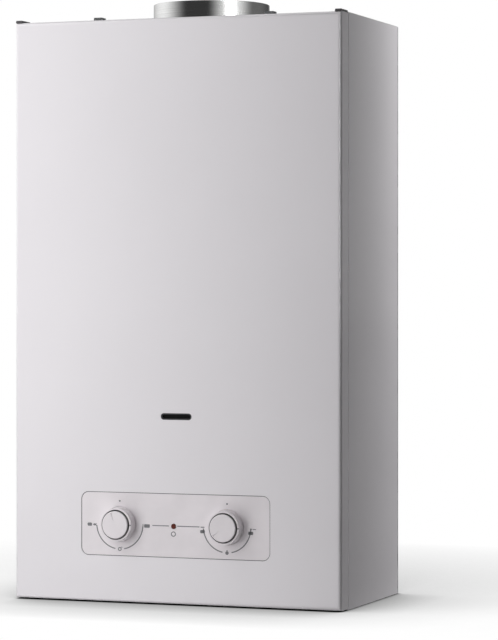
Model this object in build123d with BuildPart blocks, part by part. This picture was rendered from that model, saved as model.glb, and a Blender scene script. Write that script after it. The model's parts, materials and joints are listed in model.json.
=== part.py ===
from build123d import *

import os

# An open-flue instantaneous gas water heater in a white sheet-metal casing.
# Millimetres. X runs to the right of someone facing the heater, Y runs back to the wall, Z runs up.
# The origin is under the middle of the heater, on the level that the casing stands on.

os.makedirs("parts", exist_ok=True)


# Casing
casing_width = 352.0
casing_height = 590.0
casing_depth = 185.0  # front face of the cover to the wall
knob_reach = 13.0  # face of the knobs ahead of the cover
sheet = 0.8
back_sheet = 1.2
cover_bend = 4.0
cover_return = 22.0
cover_edge_gap = 1.0  # how much shorter than the side panels the cover is, at the top and at the bottom
seam_gap = 1.5
lip_gap = 0.4  # between the cover and the lips that it closes over
lip_length = 13.5
panel_flange = 15.0
panel_bend = 1.2
joint_gap = 0.3  # between pieces that lie side by side
running_gap = 0.08  # round a shaft that turns or slides

front_y = knob_reach - (casing_depth + knob_reach) / 2
wall_y = (casing_depth + knob_reach) / 2
inside_y = front_y + sheet
back_y = wall_y - back_sheet
cover_rear_y = front_y + cover_return
seam_y = cover_rear_y + seam_gap
lip_front_y = seam_y - lip_length
side_x = casing_width / 2
side_inner_x = side_x - sheet
lip_outer_x = side_inner_x - lip_gap
lip_inner_x = lip_outer_x - sheet
cover_top = casing_height - cover_edge_gap
cover_bottom = cover_edge_gap
lip_top = cover_top - sheet - lip_gap
lip_bottom = cover_bottom + sheet + lip_gap

# Control panel, sight window and knobs
fascia_width = 204.0
fascia_height = 64.5
fascia_radius = 8.0
fascia_z = 79.5
fascia_groove = 0.6
fascia_recess = 0.4
fascia_plate = 2.0
fascia_rim = 4.5  # how far the plate reaches behind the edge of the cover
knob_spacing = 116.0
knob_middle_x = -1.8
knob_hole_radius = 17.8
knob_face_radius = 14.0
knob_skirt_radius = 16.9
knob_base_radius = 16.2
knob_skirt_height = 10.7
knob_base_depth = 1.5  # how far the skirt reaches into its hole
knob_wall = 1.6
knob_hub_radius = 6.5
knob_bore_depth = 9.0
pointer_width = 1.3
pointer_inner_radius = 5.0
pointer_outer_radius = 12.4
pointer_depth = 0.4
knob_face_edge = 0.9
knob_skirt_edge = 0.7
gas_pointer_angle = 17.0  # from straight up, turning left
temperature_pointer_angle = 130.0
gas_knob_x = knob_middle_x - knob_spacing / 2
temperature_knob_x = knob_middle_x + knob_spacing / 2
knob_z = fascia_z
spindle_radius = 4.0

lens_x = -1.1
lens_z = 78.8
lens_radius = 2.7
lens_flange_radius = 4.2
lens_flange = 1.2
lens_rise = 0.8
lens_edge = 0.7

window_x = 1.75
window_z = 188.8
window_width = 32.7
window_height = 6.0
bezel_wall = 1.1
bezel_rim = 3.0
bezel_flange = 1.2
pane_thickness = 1.5


def facing_front(y):
    """A plane at y, drawn as the heater is seen: X to the right, Z up. Extruding comes forwards."""
    return Plane.XZ.offset(-y)


def facing_right(x):
    """A plane at x, with Y to the right and Z up. Extruding goes to the right."""
    return Plane.YZ.offset(x)


def level(z):
    """A plane at height z. Extruding goes up."""
    return Plane.XY.offset(z)


def rod_along_x(x_from, x_to, y, z, radius, mode=Mode.ADD):
    """A round rod or bore between two places on a line along X."""
    with BuildSketch(facing_right(x_from)) as section:
        with Locations((y, z)):
            Circle(radius)
    extrude(section.sketch, amount=x_to - x_from, mode=mode)


def rod_along_y(y_from, y_to, x, z, radius, mode=Mode.ADD):
    """A round rod or bore between two places on a line along Y, y_from being the rear end."""
    with BuildSketch(facing_front(y_from)) as section:
        with Locations((x, z)):
            Circle(radius)
    extrude(section.sketch, amount=y_from - y_to, mode=mode)


def rod_along_z(z_from, z_to, x, y, radius, mode=Mode.ADD):
    """A round rod or bore between two heights."""
    with BuildSketch(level(z_from)) as section:
        with Locations((x, y)):
            Circle(radius)
    extrude(section.sketch, amount=z_to - z_from, mode=mode)


def block(x_range, y_range, z_range, mode=Mode.ADD):
    """A plain block between two limits on each axis."""
    with BuildSketch(level(z_range[0])) as section:
        with Locations(((x_range[0] + x_range[1]) / 2, (y_range[0] + y_range[1]) / 2)):
            Rectangle(x_range[1] - x_range[0], y_range[1] - y_range[0])
    extrude(section.sketch, amount=z_range[1] - z_range[0], mode=mode)


def bent_tube(points, bends, radius, bore=0):
    """A tube of one outer radius along straight runs joined by round bends."""
    with BuildLine() as line:
        route = FilletPolyline(*points, radius=bends)
    with BuildSketch(Plane(origin=route @ 0, z_dir=route % 0)) as section:
        Circle(radius)
        if bore:
            Circle(bore, mode=Mode.SUBTRACT)
    sweep(section.sketch, path=line.wires()[0])


# Front cover: a pressed pan with two push studs inside
stud_x = 120.0
stud_z = 18.0
stud_radius = 3.2
stud_length = 19.0

with BuildPart() as front_cover:
    with BuildSketch(facing_front(cover_rear_y)):
        with Locations((0, (cover_top + cover_bottom) / 2)):
            Rectangle(casing_width, cover_top - cover_bottom)
    extrude(amount=cover_return)
    fillet(front_cover.faces().sort_by(Axis.Y)[0].edges(), radius=cover_bend)
    offset(amount=-sheet, openings=front_cover.faces().sort_by(Axis.Y)[-1])
    with BuildSketch(facing_front(front_y)):
        with Locations((0, fascia_z)):
            RectangleRounded(fascia_width, fascia_height, fascia_radius)
        with Locations((window_x, window_z)):
            SlotOverall(window_width + 2 * joint_gap, window_height + 2 * joint_gap)
    extrude(amount=-2 * sheet, mode=Mode.SUBTRACT)
    with BuildSketch(facing_front(inside_y)):
        with Locations((-stud_x, stud_z), (stud_x, stud_z)):
            Circle(stud_radius)
    extrude(amount=-stud_length)
    stud_tip_y = inside_y + stud_length
    stud_tips = front_cover.faces().filter_by_position(Axis.Y, stud_tip_y - joint_gap, stud_tip_y + joint_gap)
    fillet(stud_tips.edges(), radius=stud_radius / 2)

# Control fascia, held behind the opening of the cover
fascia_face_y = front_y + fascia_recess
fascia_rear_y = inside_y + fascia_plate
face_width = fascia_width - 2 * fascia_groove
face_height = fascia_height - 2 * fascia_groove
plate_width = fascia_width + 2 * fascia_rim
plate_height = fascia_height + 2 * fascia_rim

with BuildPart() as control_fascia:
    with BuildSketch(facing_front(fascia_rear_y)):
        with Locations((0, fascia_z)):
            RectangleRounded(plate_width, plate_height, fascia_radius + fascia_rim)
    extrude(amount=fascia_plate)
    with BuildSketch(facing_front(inside_y)):
        with Locations((0, fascia_z)):
            RectangleRounded(face_width, face_height, fascia_radius - fascia_groove)
    extrude(amount=inside_y - fascia_face_y)
    with BuildSketch(facing_front(fascia_face_y)):
        with Locations((gas_knob_x, knob_z), (temperature_knob_x, knob_z)):
            Circle(knob_hole_radius)
        with Locations((lens_x, lens_z)):
            Circle(lens_radius + joint_gap / 2)
    extrude(amount=-(fascia_rear_y - fascia_face_y), mode=Mode.SUBTRACT)

# Lamp lens, pushed through the fascia from behind
with BuildPart() as lamp_lens:
    rod_along_y(fascia_rear_y + lens_flange, fascia_rear_y, lens_x, lens_z, lens_flange_radius)
    rod_along_y(fascia_rear_y, fascia_face_y - lens_rise, lens_x, lens_z, lens_radius)
    fillet(lamp_lens.faces().sort_by(Axis.Y)[0].edges(), radius=lens_edge)

# Sight window: a black bezel in the slot of the cover, and the pane behind it
bezel_rear_y = inside_y + bezel_flange

with BuildPart() as window_bezel:
    with BuildSketch(facing_front(bezel_rear_y)):
        with Locations((window_x, window_z)):
            SlotOverall(window_width + 2 * bezel_rim, window_height + 2 * bezel_rim)
            SlotOverall(
                window_width - 2 * bezel_wall, window_height - 2 * bezel_wall, mode=Mode.SUBTRACT
            )
    extrude(amount=bezel_flange)
    with BuildSketch(facing_front(inside_y)):
        with Locations((window_x, window_z)):
            SlotOverall(window_width, window_height)
            SlotOverall(
                window_width - 2 * bezel_wall, window_height - 2 * bezel_wall, mode=Mode.SUBTRACT
            )
    extrude(amount=sheet)

with BuildPart() as window_pane:
    with BuildSketch(facing_front(bezel_rear_y + pane_thickness)):
        with Locations((window_x, window_z)):
            RectangleRounded(window_width + bezel_rim, window_height + bezel_rim, bezel_rim)
    extrude(amount=pane_thickness)

# Hooks that hang the cover in two slots of the top panel
hook_x = 93.0
hook_width = 9.0
hook_sheet = 0.8
hook_foot = 6.0
hook_rise = 4.6
hook_reach = 9.0  # behind the rear edge of the cover
hook_drop = 8.1
hook_slot_side_gap = 1.0
hook_slot_front_gap = 0.5
hook_slot_rear_gap = 1.6
hook_slot_front_y = seam_y + sheet + hook_slot_front_gap
hook_slot_rear_y = cover_rear_y + hook_reach + hook_slot_rear_gap

with BuildPart() as cover_hooks:
    for side in (-1, 1):
        with BuildSketch(facing_right(side * hook_x - hook_width / 2)):
            with BuildLine():
                Polyline(
                    (cover_rear_y - hook_foot, cover_top),
                    (cover_rear_y - hook_foot, cover_top + hook_sheet),
                    (cover_rear_y - hook_sheet, cover_top + hook_sheet),
                    (cover_rear_y - hook_sheet, cover_top + hook_rise),
                    (cover_rear_y + hook_reach, cover_top + hook_rise),
                    (cover_rear_y + hook_reach, cover_top + hook_rise - hook_drop),
                    (cover_rear_y + hook_reach - hook_sheet, cover_top + hook_rise - hook_drop),
                    (cover_rear_y + hook_reach - hook_sheet, cover_top + hook_rise - hook_sheet),
                    (cover_rear_y, cover_top + hook_rise - hook_sheet),
                    (cover_rear_y, cover_top),
                    close=True,
                )
            make_face()
        extrude(amount=hook_width)

# Corner caps on the top of the cover
cap_width = 7.0
cap_height = 2.4
cap_setback = 1.0
cap_taper = 12
cap_depth = cover_return - cap_setback

with BuildPart() as corner_caps:
    for side in (-1, 1):
        with BuildSketch(level(cover_top)):
            with Locations((side * (side_x - cap_width / 2), cover_rear_y - cap_depth / 2)):
                Rectangle(cap_width, cap_depth)
        extrude(amount=cap_height, taper=cap_taper)

# Side panels, one drawn and one mirrored


def side_panel():
    """The right side panel: wall, rear flange, stepped front lip and a foot flange."""
    with BuildPart() as panel:
        with BuildSketch(level(0)):
            with BuildLine():
                Polyline(
                    (side_x - panel_flange, back_y - sheet),
                    (side_x - panel_flange, back_y),
                    (side_x, back_y),
                    (side_x, seam_y),
                    (lip_inner_x, seam_y),
                    (lip_inner_x, seam_y + sheet),
                    (side_inner_x, seam_y + sheet),
                    (side_inner_x, back_y - sheet),
                    close=True,
                )
            make_face()
        extrude(amount=casing_height)
        fillet(
            panel.edges().filter_by(Axis.Z).filter_by_position(Axis.Y, back_y, back_y).sort_by(Axis.X)[-1],
            radius=panel_bend,
        )
        block((lip_inner_x, lip_outer_x), (lip_front_y, seam_y), (lip_bottom, lip_top))
        block((side_x - panel_flange, side_inner_x), (seam_y + sheet, back_y - sheet), (0, sheet))
        for z in screw_levels:
            rod_along_y(back_y, back_y - sheet, screw_x, z, screw_radius + joint_gap / 2, Mode.SUBTRACT)
    return panel.part


screw_end_rise = 40.0  # from each end of the casing to its nearest screws
screw_rows = 4
screw_pitch = (casing_height - 2 * screw_end_rise) / (screw_rows - 1)
screw_levels = [screw_end_rise + row * screw_pitch for row in range(screw_rows)]
screw_inset = 9.0
screw_x = side_x - screw_inset
screw_radius = 1.7
screw_head_radius = 3.6
screw_head_height = 2.2
screw_tip_y = wall_y - joint_gap

side_panel_right = side_panel()
side_panel_left = mirror(side_panel_right, about=Plane.YZ)

# Screws that hold the side panels to the back plate
with BuildPart() as chassis_screws:
    for z in screw_levels:
        for side in (-1, 1):
            rod_along_y(screw_tip_y, back_y - sheet, side * screw_x, z, screw_radius)
            rod_along_y(
                back_y - sheet, back_y - sheet - screw_head_height, side * screw_x, z, screw_head_radius
            )
    heads = chassis_screws.faces().filter_by(Axis.Y).sort_by(Axis.Y)[: 2 * len(screw_levels)]
    chamfer(heads.edges(), length=screw_head_height / 3)

# Flue, shared by the top panel, the collar and the hood
flue_radius = 60.0
flue_to_wall = 83.0
flue_rise = 20.0
collar_sheet = 0.8
collar_inside = 28.0  # how far the collar reaches below the top panel
flue_hole_gap = 0.8
collar_bead = 2.6  # how far the bead that rests on the top panel stands out
collar_bead_height = 1.2
collar_bead_edge = 0.6
flue_y = wall_y - flue_to_wall

# Top panel between the side panels, with its stepped lip under the cover
top_lip_x = lip_inner_x - joint_gap
with BuildPart() as top_panel:
    block(
        (-side_inner_x, side_inner_x),
        (seam_y + sheet, back_y - sheet),
        (casing_height - sheet, casing_height),
    )
    block((-top_lip_x, top_lip_x), (seam_y, seam_y + sheet), (lip_top - sheet, casing_height))
    block((-top_lip_x, top_lip_x), (lip_front_y, seam_y), (lip_top - sheet, lip_top))
    for side in (-1, 1):
        inner_edge = side * (side_inner_x - sheet)
        outer_edge = side * side_inner_x
        block(
            (min(inner_edge, outer_edge), max(inner_edge, outer_edge)),
            (seam_y + 2 * sheet, back_y - sheet),
            (casing_height - panel_flange, casing_height - sheet),
        )
    rear_half_width = side_x - panel_flange - joint_gap
    block(
        (-rear_half_width, rear_half_width),
        (back_y - sheet, back_y),
        (casing_height - panel_flange, casing_height),
    )
    rod_along_z(
        casing_height - sheet, casing_height, 0, flue_y, flue_radius + flue_hole_gap, Mode.SUBTRACT
    )
    for side in (-1, 1):
        hook_slot_half = hook_width / 2 + hook_slot_side_gap
        block(
            (side * hook_x - hook_slot_half, side * hook_x + hook_slot_half),
            (hook_slot_front_y, hook_slot_rear_y),
            (casing_height - sheet, casing_height),
            Mode.SUBTRACT,
        )

# Back plate with pressed ribs, two hanging slots and two lower fixing holes
hang_spacing = 200.0
hang_drop = 34.0  # from the top of the casing to the hanging slots
hang_slot_width = 8.0
hang_slot_length = 24.0
lower_hole_z = 24.0
lower_hole_radius = 3.5
rib_x = 128.0
rib_end_rise = 90.0  # from each end of the casing to the ribs
rib_width = 16.0
rib_height = 2.6
rib_taper = 30
hang_z = casing_height - hang_drop
rib_low_z = rib_end_rise
rib_high_z = casing_height - rib_end_rise

with BuildPart() as back_plate:
    block((-side_x, side_x), (back_y, wall_y), (0, casing_height))
    fillet(back_plate.edges().filter_by(Axis.Y), radius=panel_bend)
    rib_middle_z = (rib_low_z + rib_high_z) / 2
    rib_length = rib_high_z - rib_low_z
    with BuildSketch(facing_front(back_y)):
        with Locations((-rib_x, rib_middle_z), (rib_x, rib_middle_z)):
            SlotOverall(rib_length, rib_width, rotation=90)
    extrude(amount=rib_height, taper=rib_taper)
    with BuildSketch(facing_front(wall_y)):
        with Locations((-rib_x, rib_middle_z), (rib_x, rib_middle_z)):
            SlotOverall(rib_length - 2 * back_sheet, rib_width - 2 * back_sheet, rotation=90)
    extrude(amount=rib_height, taper=rib_taper, mode=Mode.SUBTRACT)
    with BuildSketch(facing_front(back_y)):
        with Locations((-hang_spacing / 2, hang_z), (hang_spacing / 2, hang_z)):
            SlotOverall(hang_slot_length, hang_slot_width)
        with Locations((-hang_spacing / 2, lower_hole_z), (hang_spacing / 2, lower_hole_z)):
            Circle(lower_hole_radius)
    extrude(amount=-back_sheet, mode=Mode.SUBTRACT)
    for z in screw_levels:
        for side in (-1, 1):
            rod_along_y(wall_y, back_y, side * screw_x, z, screw_radius + joint_gap / 2, Mode.SUBTRACT)

# Water and gas connections, in one line under the heater
valve_to_wall = 105.0
connection_spacing = 80.0
thread_radius = 10.48
thread_end_z = 12.0
fitting_hex = 28.0
fitting_hex_height = 8.0
fitting_bore = 7.5
nut_hex = 27.0
nut_height = 6.0
valve_y = wall_y - valve_to_wall
gas_inlet_x = -connection_spacing
cold_inlet_x = connection_spacing
hot_outlet_x = 0.0
hot_outlet_y = valve_y + 40.0
connections = ((gas_inlet_x, valve_y), (hot_outlet_x, hot_outlet_y), (cold_inlet_x, valve_y))

# Base tray
tray_z = 44.0
tray_flange = 12.0
tray_front_drop = 10.0
air_slot_length = 46.0
air_slot_width = 6.0
air_slot_spacing = 70.0
air_slot_pitch = 12.0
air_slot_columns = 3
air_slot_rows = 3
air_slot_y = 76.0
tray_top = tray_z + sheet
tray_front_y = seam_y + sheet + joint_gap

# Battery box, over an opening in the tray
battery_radius = 16.6
battery_length = 61.0
battery_gap = 0.9
battery_wall = 1.8
battery_middle_x = 149.0
battery_middle_y = 8.0
nipple_height = 1.5
nipple_radius = 4.75
door_gap = 0.5
door_setback = 0.4
door_thickness = 2.2
door_pin_radius = 1.6
door_barrel_radius = 2.9
battery_half_x = battery_radius + battery_gap
battery_half_y = 2 * battery_radius + 1.5 * battery_gap
box_half_x = battery_half_x + battery_wall
box_half_y = battery_half_y + battery_wall

# Lamp behind the lens, on a tab of the tray
lamp_radius = 2.5
lamp_tab_y = -70.0
lamp_tab_half = 7.0
lamp_flange = 1.4
lamp_nose_gap = 1.0

tray_opening_x = (battery_middle_x - box_half_x - 2 * door_barrel_radius, battery_middle_x + battery_half_x)
tray_opening_y = (battery_middle_y - battery_half_y, battery_middle_y + battery_half_y)

with BuildPart() as base_tray:
    block((-side_inner_x, side_inner_x), (tray_front_y, back_y - sheet), (tray_z, tray_top))
    block(
        (-side_inner_x, side_inner_x),
        (tray_front_y, tray_front_y + sheet),
        (tray_z - tray_front_drop, tray_z),
    )
    for side in (-1, 1):
        inner_edge = side * (side_inner_x - sheet)
        outer_edge = side * side_inner_x
        block(
            (min(inner_edge, outer_edge), max(inner_edge, outer_edge)),
            (tray_front_y, back_y - sheet),
            (tray_top, tray_top + tray_flange),
        )
    with BuildSketch(level(tray_z)):
        with Locations(*connections):
            Circle(thread_radius + joint_gap)
        with Locations((0, air_slot_y)):
            with GridLocations(air_slot_spacing, air_slot_pitch, air_slot_columns, air_slot_rows):
                SlotOverall(air_slot_length, air_slot_width)
    extrude(amount=sheet, mode=Mode.SUBTRACT)
    block(tray_opening_x, tray_opening_y, (tray_z, tray_top), Mode.SUBTRACT)
    block((lens_x - lamp_tab_half, lens_x + lamp_tab_half), (lamp_tab_y, tray_front_y), (tray_z, tray_top))
    block(
        (lens_x - lamp_tab_half, lens_x + lamp_tab_half),
        (lamp_tab_y, lamp_tab_y + sheet),
        (tray_top, lens_z + lamp_tab_half),
    )
    rod_along_y(lamp_tab_y + sheet, lamp_tab_y, lens_x, lens_z, lamp_radius + running_gap, Mode.SUBTRACT)

with BuildPart() as lamp:
    rod_along_y(
        lamp_tab_y + sheet + lamp_flange, lamp_tab_y + sheet, lens_x, lens_z, lamp_radius + lamp_flange
    )
    rod_along_y(
        lamp_tab_y + sheet, fascia_rear_y + lens_flange + lamp_nose_gap, lens_x, lens_z, lamp_radius
    )
    fillet(lamp.faces().sort_by(Axis.Y)[0].edges(), radius=lamp_radius * 0.8)

# Bottom rail behind the foot of the cover, with a spring clip for each stud
rail_y = -71.0
rail_top = tray_z - tray_front_drop
clip_radius = 7.5
clip_flange = 2.0
clip_neck_radius = 6.0
clip_bore_gap = 0.9
clip_length = 8.0

with BuildPart() as bottom_rail:
    rail_x = (-lip_inner_x, lip_inner_x)
    block(rail_x, (rail_y, rail_y + sheet), (lip_bottom, rail_top))
    block(rail_x, (rail_y + sheet, seam_y), (lip_bottom, lip_bottom + sheet))
    block(rail_x, (rail_y + sheet, tray_front_y + sheet), (rail_top - sheet, rail_top))
    for side in (-1, 1):
        rod_along_y(rail_y + sheet, rail_y, side * stud_x, stud_z, clip_neck_radius, Mode.SUBTRACT)

with BuildPart() as cover_clips:
    for side in (-1, 1):
        rod_along_y(rail_y, rail_y - clip_flange, side * stud_x, stud_z, clip_radius)
        rod_along_y(rail_y + clip_length, rail_y, side * stud_x, stud_z, clip_neck_radius)
        rod_along_y(
            rail_y + clip_length,
            rail_y - clip_flange,
            side * stud_x,
            stud_z,
            stud_radius + clip_bore_gap,
            Mode.SUBTRACT,
        )
        block(
            (side * stud_x - clip_bore_gap, side * stud_x + clip_bore_gap),
            (rail_y + sheet + joint_gap, rail_y + clip_length),
            (stud_z - clip_radius, stud_z + clip_radius),
            Mode.SUBTRACT,
        )

# Burner, chamber, fins and hood, stacked under the flue
stack_width = 200.0
stack_depth = 120.0
stack_corner = 14.0
chamber_sheet = 1.0
burner_low_z = 128.0
chamber_low_z = 178.0
fins_low_z = 346.0
hood_low_z = 408.0
hood_skirt = 16.0
throat_drop = 6.0  # from the collar's lower end to the top of the hood's slope
stack_front_y = flue_y - stack_depth / 2
stack_rear_y = flue_y + stack_depth / 2
throat_z = casing_height - collar_inside - throat_drop

with BuildPart() as flue_collar:
    with BuildSketch(level(casing_height - collar_inside)):
        with Locations((0, flue_y)):
            Circle(flue_radius)
            Circle(flue_radius - collar_sheet, mode=Mode.SUBTRACT)
    extrude(amount=collar_inside + flue_rise)
    with BuildSketch(level(casing_height)):
        with Locations((0, flue_y)):
            Circle(flue_radius + collar_bead)
            Circle(flue_radius - collar_sheet, mode=Mode.SUBTRACT)
    extrude(amount=collar_bead_height)
    bead_rim = flue_collar.edges().filter_by(GeomType.CIRCLE).sort_by(lambda edge: edge.radius)[-2:]
    fillet(bead_rim.sort_by(Axis.Z)[-1], radius=collar_bead_edge)

throat_radius = flue_radius - collar_sheet
throat_overlap = 14.0
throat_top = casing_height - collar_inside + throat_overlap
relief_half_width = 62.0
relief_height = 34.0
relief_sill = 6.0
relief_low_z = hood_low_z + hood_skirt + relief_sill

with BuildPart() as draught_hood:
    for inset, mode in ((0, Mode.ADD), (sheet, Mode.SUBTRACT)):
        with BuildSketch(level(hood_low_z)):
            with Locations((0, flue_y)):
                RectangleRounded(stack_width - 2 * inset, stack_depth - 2 * inset, stack_corner - inset)
        extrude(amount=hood_skirt, mode=mode)
        with BuildSketch(level(hood_low_z + hood_skirt)):
            with Locations((0, flue_y)):
                RectangleRounded(stack_width - 2 * inset, stack_depth - 2 * inset, stack_corner - inset)
        with BuildSketch(level(throat_z)):
            with Locations((0, flue_y)):
                Circle(throat_radius - inset)
        loft(mode=mode)
        rod_along_z(throat_z, throat_top, 0, flue_y, throat_radius - inset, mode)
    block(
        (-relief_half_width, relief_half_width),
        (flue_y, stack_rear_y + sheet),
        (relief_low_z, relief_low_z + relief_height),
        Mode.SUBTRACT,
    )

# Baffle in the hood: a roof on two straps that stand on the skirt
baffle_half_width = 62.0
baffle_half_depth = 36.0
baffle_low_z = 460.0
baffle_peak_z = 480.0
strap_width = 12.0
strap_x = 40.0
strap_rise = 3.0
strap_low_z = hood_low_z + strap_rise
strap_half_depth = stack_depth / 2 - sheet

with BuildPart() as hood_baffle:
    for middle_x in (-strap_x, strap_x):
        with BuildSketch(facing_right(middle_x - strap_width / 2)):
            with BuildLine():
                strap = Polyline(
                    (flue_y - strap_half_depth, strap_low_z),
                    (flue_y - strap_half_depth, hood_low_z + hood_skirt),
                    (flue_y - baffle_half_depth, baffle_low_z),
                    (flue_y, baffle_peak_z),
                    (flue_y + baffle_half_depth, baffle_low_z),
                    (flue_y + strap_half_depth, hood_low_z + hood_skirt),
                    (flue_y + strap_half_depth, strap_low_z),
                )
                offset(strap, amount=sheet, side=Side.RIGHT)
            make_face()
        extrude(amount=strap_width)
    with BuildSketch(facing_right(-baffle_half_width)):
        with BuildLine():
            roof = Polyline(
                (flue_y - baffle_half_depth, baffle_low_z),
                (flue_y, baffle_peak_z),
                (flue_y + baffle_half_depth, baffle_low_z),
            )
            offset(roof, amount=sheet, side=Side.RIGHT)
        make_face()
    extrude(amount=2 * baffle_half_width)

# Fin block: the fins as grooves above and below a solid middle, with a tube hole for each pass
tube_radius = 7.0
tube_gap = 0.3
pass_pitch = 28.0
pass_count = 4
fin_pitch = 6.0
fin_thickness = 1.8
fin_depth = 15.0
jacket = 3.0
pass_z = (fins_low_z + hood_low_z) / 2
first_pass_y = flue_y - pass_pitch * (pass_count - 1) / 2
pass_ys = [first_pass_y + pass_pitch * n for n in range(pass_count)]
fin_count = int((stack_width - 2 * jacket) / fin_pitch)

with BuildPart() as fin_block:
    with BuildSketch(level(fins_low_z)):
        with Locations((0, flue_y)):
            RectangleRounded(stack_width, stack_depth, stack_corner)
    extrude(amount=hood_low_z - fins_low_z)
    groove = fin_pitch - fin_thickness
    for low_z in (fins_low_z, hood_low_z - fin_depth):
        with BuildSketch(level(low_z)):
            with Locations((0, flue_y)):
                with GridLocations(fin_pitch, 1, fin_count, 1):
                    Rectangle(groove, stack_depth - 2 * stack_corner)
        extrude(amount=fin_depth, mode=Mode.SUBTRACT)
    for y in pass_ys:
        rod_along_x(-stack_width / 2, stack_width / 2, y, pass_z, tube_radius + running_gap, Mode.SUBTRACT)

# Tube through the fins: four passes and three return bends, in one piece
stub = 6.0
pass_end_x = stack_width / 2 + stub

with BuildPart() as exchanger_tubes:
    with BuildLine() as passes:
        for n, y in enumerate(pass_ys):
            way = 1 if n % 2 == 0 else -1
            Line((-way * pass_end_x, y, pass_z), (way * pass_end_x, y, pass_z))
            if y != pass_ys[-1]:
                ThreePointArc(
                    (way * pass_end_x, y, pass_z),
                    (way * (pass_end_x + pass_pitch / 2), y + pass_pitch / 2, pass_z),
                    (way * pass_end_x, y + pass_pitch, pass_z),
                )
    with BuildSketch(Plane(origin=(-pass_end_x, pass_ys[0], pass_z), z_dir=(1, 0, 0))):
        Circle(tube_radius)
    sweep(path=passes.wires()[0])

# Combustion chamber, open at both ends, with a sight slot in line with the window
sight_slot_width = 40.0
sight_slot_height = 10.0
electrode_xs = (-34.0, -16.0, 34.0)
electrode_z = 206.0
insulator_radius = 4.0

with BuildPart() as combustion_chamber:
    with BuildSketch(level(chamber_low_z)):
        with Locations((0, flue_y)):
            RectangleRounded(stack_width, stack_depth, stack_corner)
            RectangleRounded(
                stack_width - 2 * chamber_sheet,
                stack_depth - 2 * chamber_sheet,
                stack_corner - chamber_sheet,
                mode=Mode.SUBTRACT,
            )
    extrude(amount=fins_low_z - chamber_low_z)
    with BuildSketch(facing_front(stack_front_y)):
        with Locations((window_x, window_z)):
            SlotOverall(sight_slot_width, sight_slot_height)
        with Locations(*((x, electrode_z) for x in electrode_xs)):
            Circle(insulator_radius + running_gap)
    extrude(amount=-chamber_sheet, mode=Mode.SUBTRACT)

# Electrodes: two for the spark and one that senses the flame
insulator_half_length = 14.0
insulator_flange = 2.5
insulator_flange_length = 3.0
rod_radius = 1.1
rod_bend = 4.0
rod_tip_reach = 34.0
rod_tip_drop = 16.0
rod_tail = 6.0
insulator_front_y = stack_front_y - insulator_half_length
insulator_rear_y = stack_front_y + insulator_half_length
rod_tip_y = stack_front_y + rod_tip_reach
tail_end_y = insulator_front_y - rod_tail

with BuildPart() as electrode_insulators:
    for x in electrode_xs:
        rod_along_y(insulator_rear_y, insulator_front_y, x, electrode_z, insulator_radius)
        rod_along_y(
            stack_front_y,
            stack_front_y - insulator_flange_length,
            x,
            electrode_z,
            insulator_radius + insulator_flange,
        )
        rod_along_y(
            insulator_rear_y, insulator_front_y, x, electrode_z, rod_radius + running_gap, Mode.SUBTRACT
        )

with BuildPart() as electrode_rods:
    for x in electrode_xs:
        bent_tube(
            [
                (x, tail_end_y, electrode_z),
                (x, rod_tip_y, electrode_z),
                (x, rod_tip_y, electrode_z - rod_tip_drop),
            ],
            rod_bend,
            rod_radius,
        )

# Water coil, one unbroken tube wound round the chamber
coil_x = stack_width / 2 + tube_radius + tube_gap
coil_front_y = stack_front_y - tube_radius - tube_gap
coil_rear_y = stack_rear_y + tube_radius + tube_gap
coil_low_z = 232.0
coil_climb = 15.0
coil_bend = 22.0
coil_start_y = 60.0
coil_start_z = 132.0
riser_reach = 14.0
riser_x = -coil_x - riser_reach
riser_bend = 12.0

with BuildPart() as chamber_coil:
    bent_tube(
        [
            (coil_x, coil_start_y, coil_start_z),
            (coil_x, coil_start_y, coil_low_z),
            (coil_x, coil_front_y, coil_low_z + 0.4 * coil_climb),
            (-coil_x, coil_front_y, coil_low_z + 1.4 * coil_climb),
            (-coil_x, coil_rear_y, coil_low_z + 2 * coil_climb),
            (coil_x, coil_rear_y, coil_low_z + 3 * coil_climb),
            (coil_x, coil_front_y, coil_low_z + 3.6 * coil_climb),
            (riser_x, coil_front_y, coil_low_z + 4.6 * coil_climb),
            (riser_x, coil_front_y, pass_z),
            (riser_x, pass_ys[0], pass_z),
            (-pass_end_x, pass_ys[0], pass_z),
        ],
        [coil_bend] * 7 + [riser_bend] * 2,
        tube_radius,
    )

# Bracket between the chamber and the back plate
bracket_low_z = 302.0
bracket_height = 30.0
bracket_half_width = 80.0
bracket_foot = 22.0

with BuildPart() as chamber_bracket:
    with BuildSketch(level(bracket_low_z)):
        with BuildLine():
            hat = Polyline(
                (-bracket_half_width - bracket_foot, back_y),
                (-bracket_half_width, back_y),
                (-bracket_half_width, stack_rear_y + sheet),
                (bracket_half_width, stack_rear_y + sheet),
                (bracket_half_width, back_y),
                (bracket_half_width + bracket_foot, back_y),
            )
            offset(hat, amount=sheet, side=Side.RIGHT)
        make_face()
    extrude(amount=bracket_height)

# Burner: a frame, thin blades with slotted heads, a manifold and an injector for each blade
blade_count = 12
blade_pitch = 15.6
blade_head = 9.0
blade_head_height = 11.0
blade_neck = 4.0
blade_mouth_radius = 5.5
blade_mouth_depth = 20.0
blade_wall = 1.0
blade_corner = 2.0
blade_setback = 2.0
port_width = 1.6
port_depth = 3.0
port_count = 7
injector_radius = 3.0
injector_hex = 7.0
injector_rise = 10.0
injector_flange = 2.5
injector_thread = 3.5
injector_thread_radius = 2.5
injector_end_gap = 2.0
injector_taper = 12
manifold_side = 14.0
manifold_corner = 2.0
manifold_gap = 6.0
manifold_arm = 2.0
manifold_arm_height = 8.0
lug_x = 60.0
lug_foot = 24.0
lug_rise = 14.0
lug_height = 24.0
blade_top = chamber_low_z - blade_setback
frame_inner_front = stack_front_y + chamber_sheet
frame_inner_rear = stack_rear_y - chamber_sheet
injector_z = burner_low_z + injector_rise
blade_xs = [blade_pitch * (n - (blade_count - 1) / 2) for n in range(blade_count)]
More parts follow.
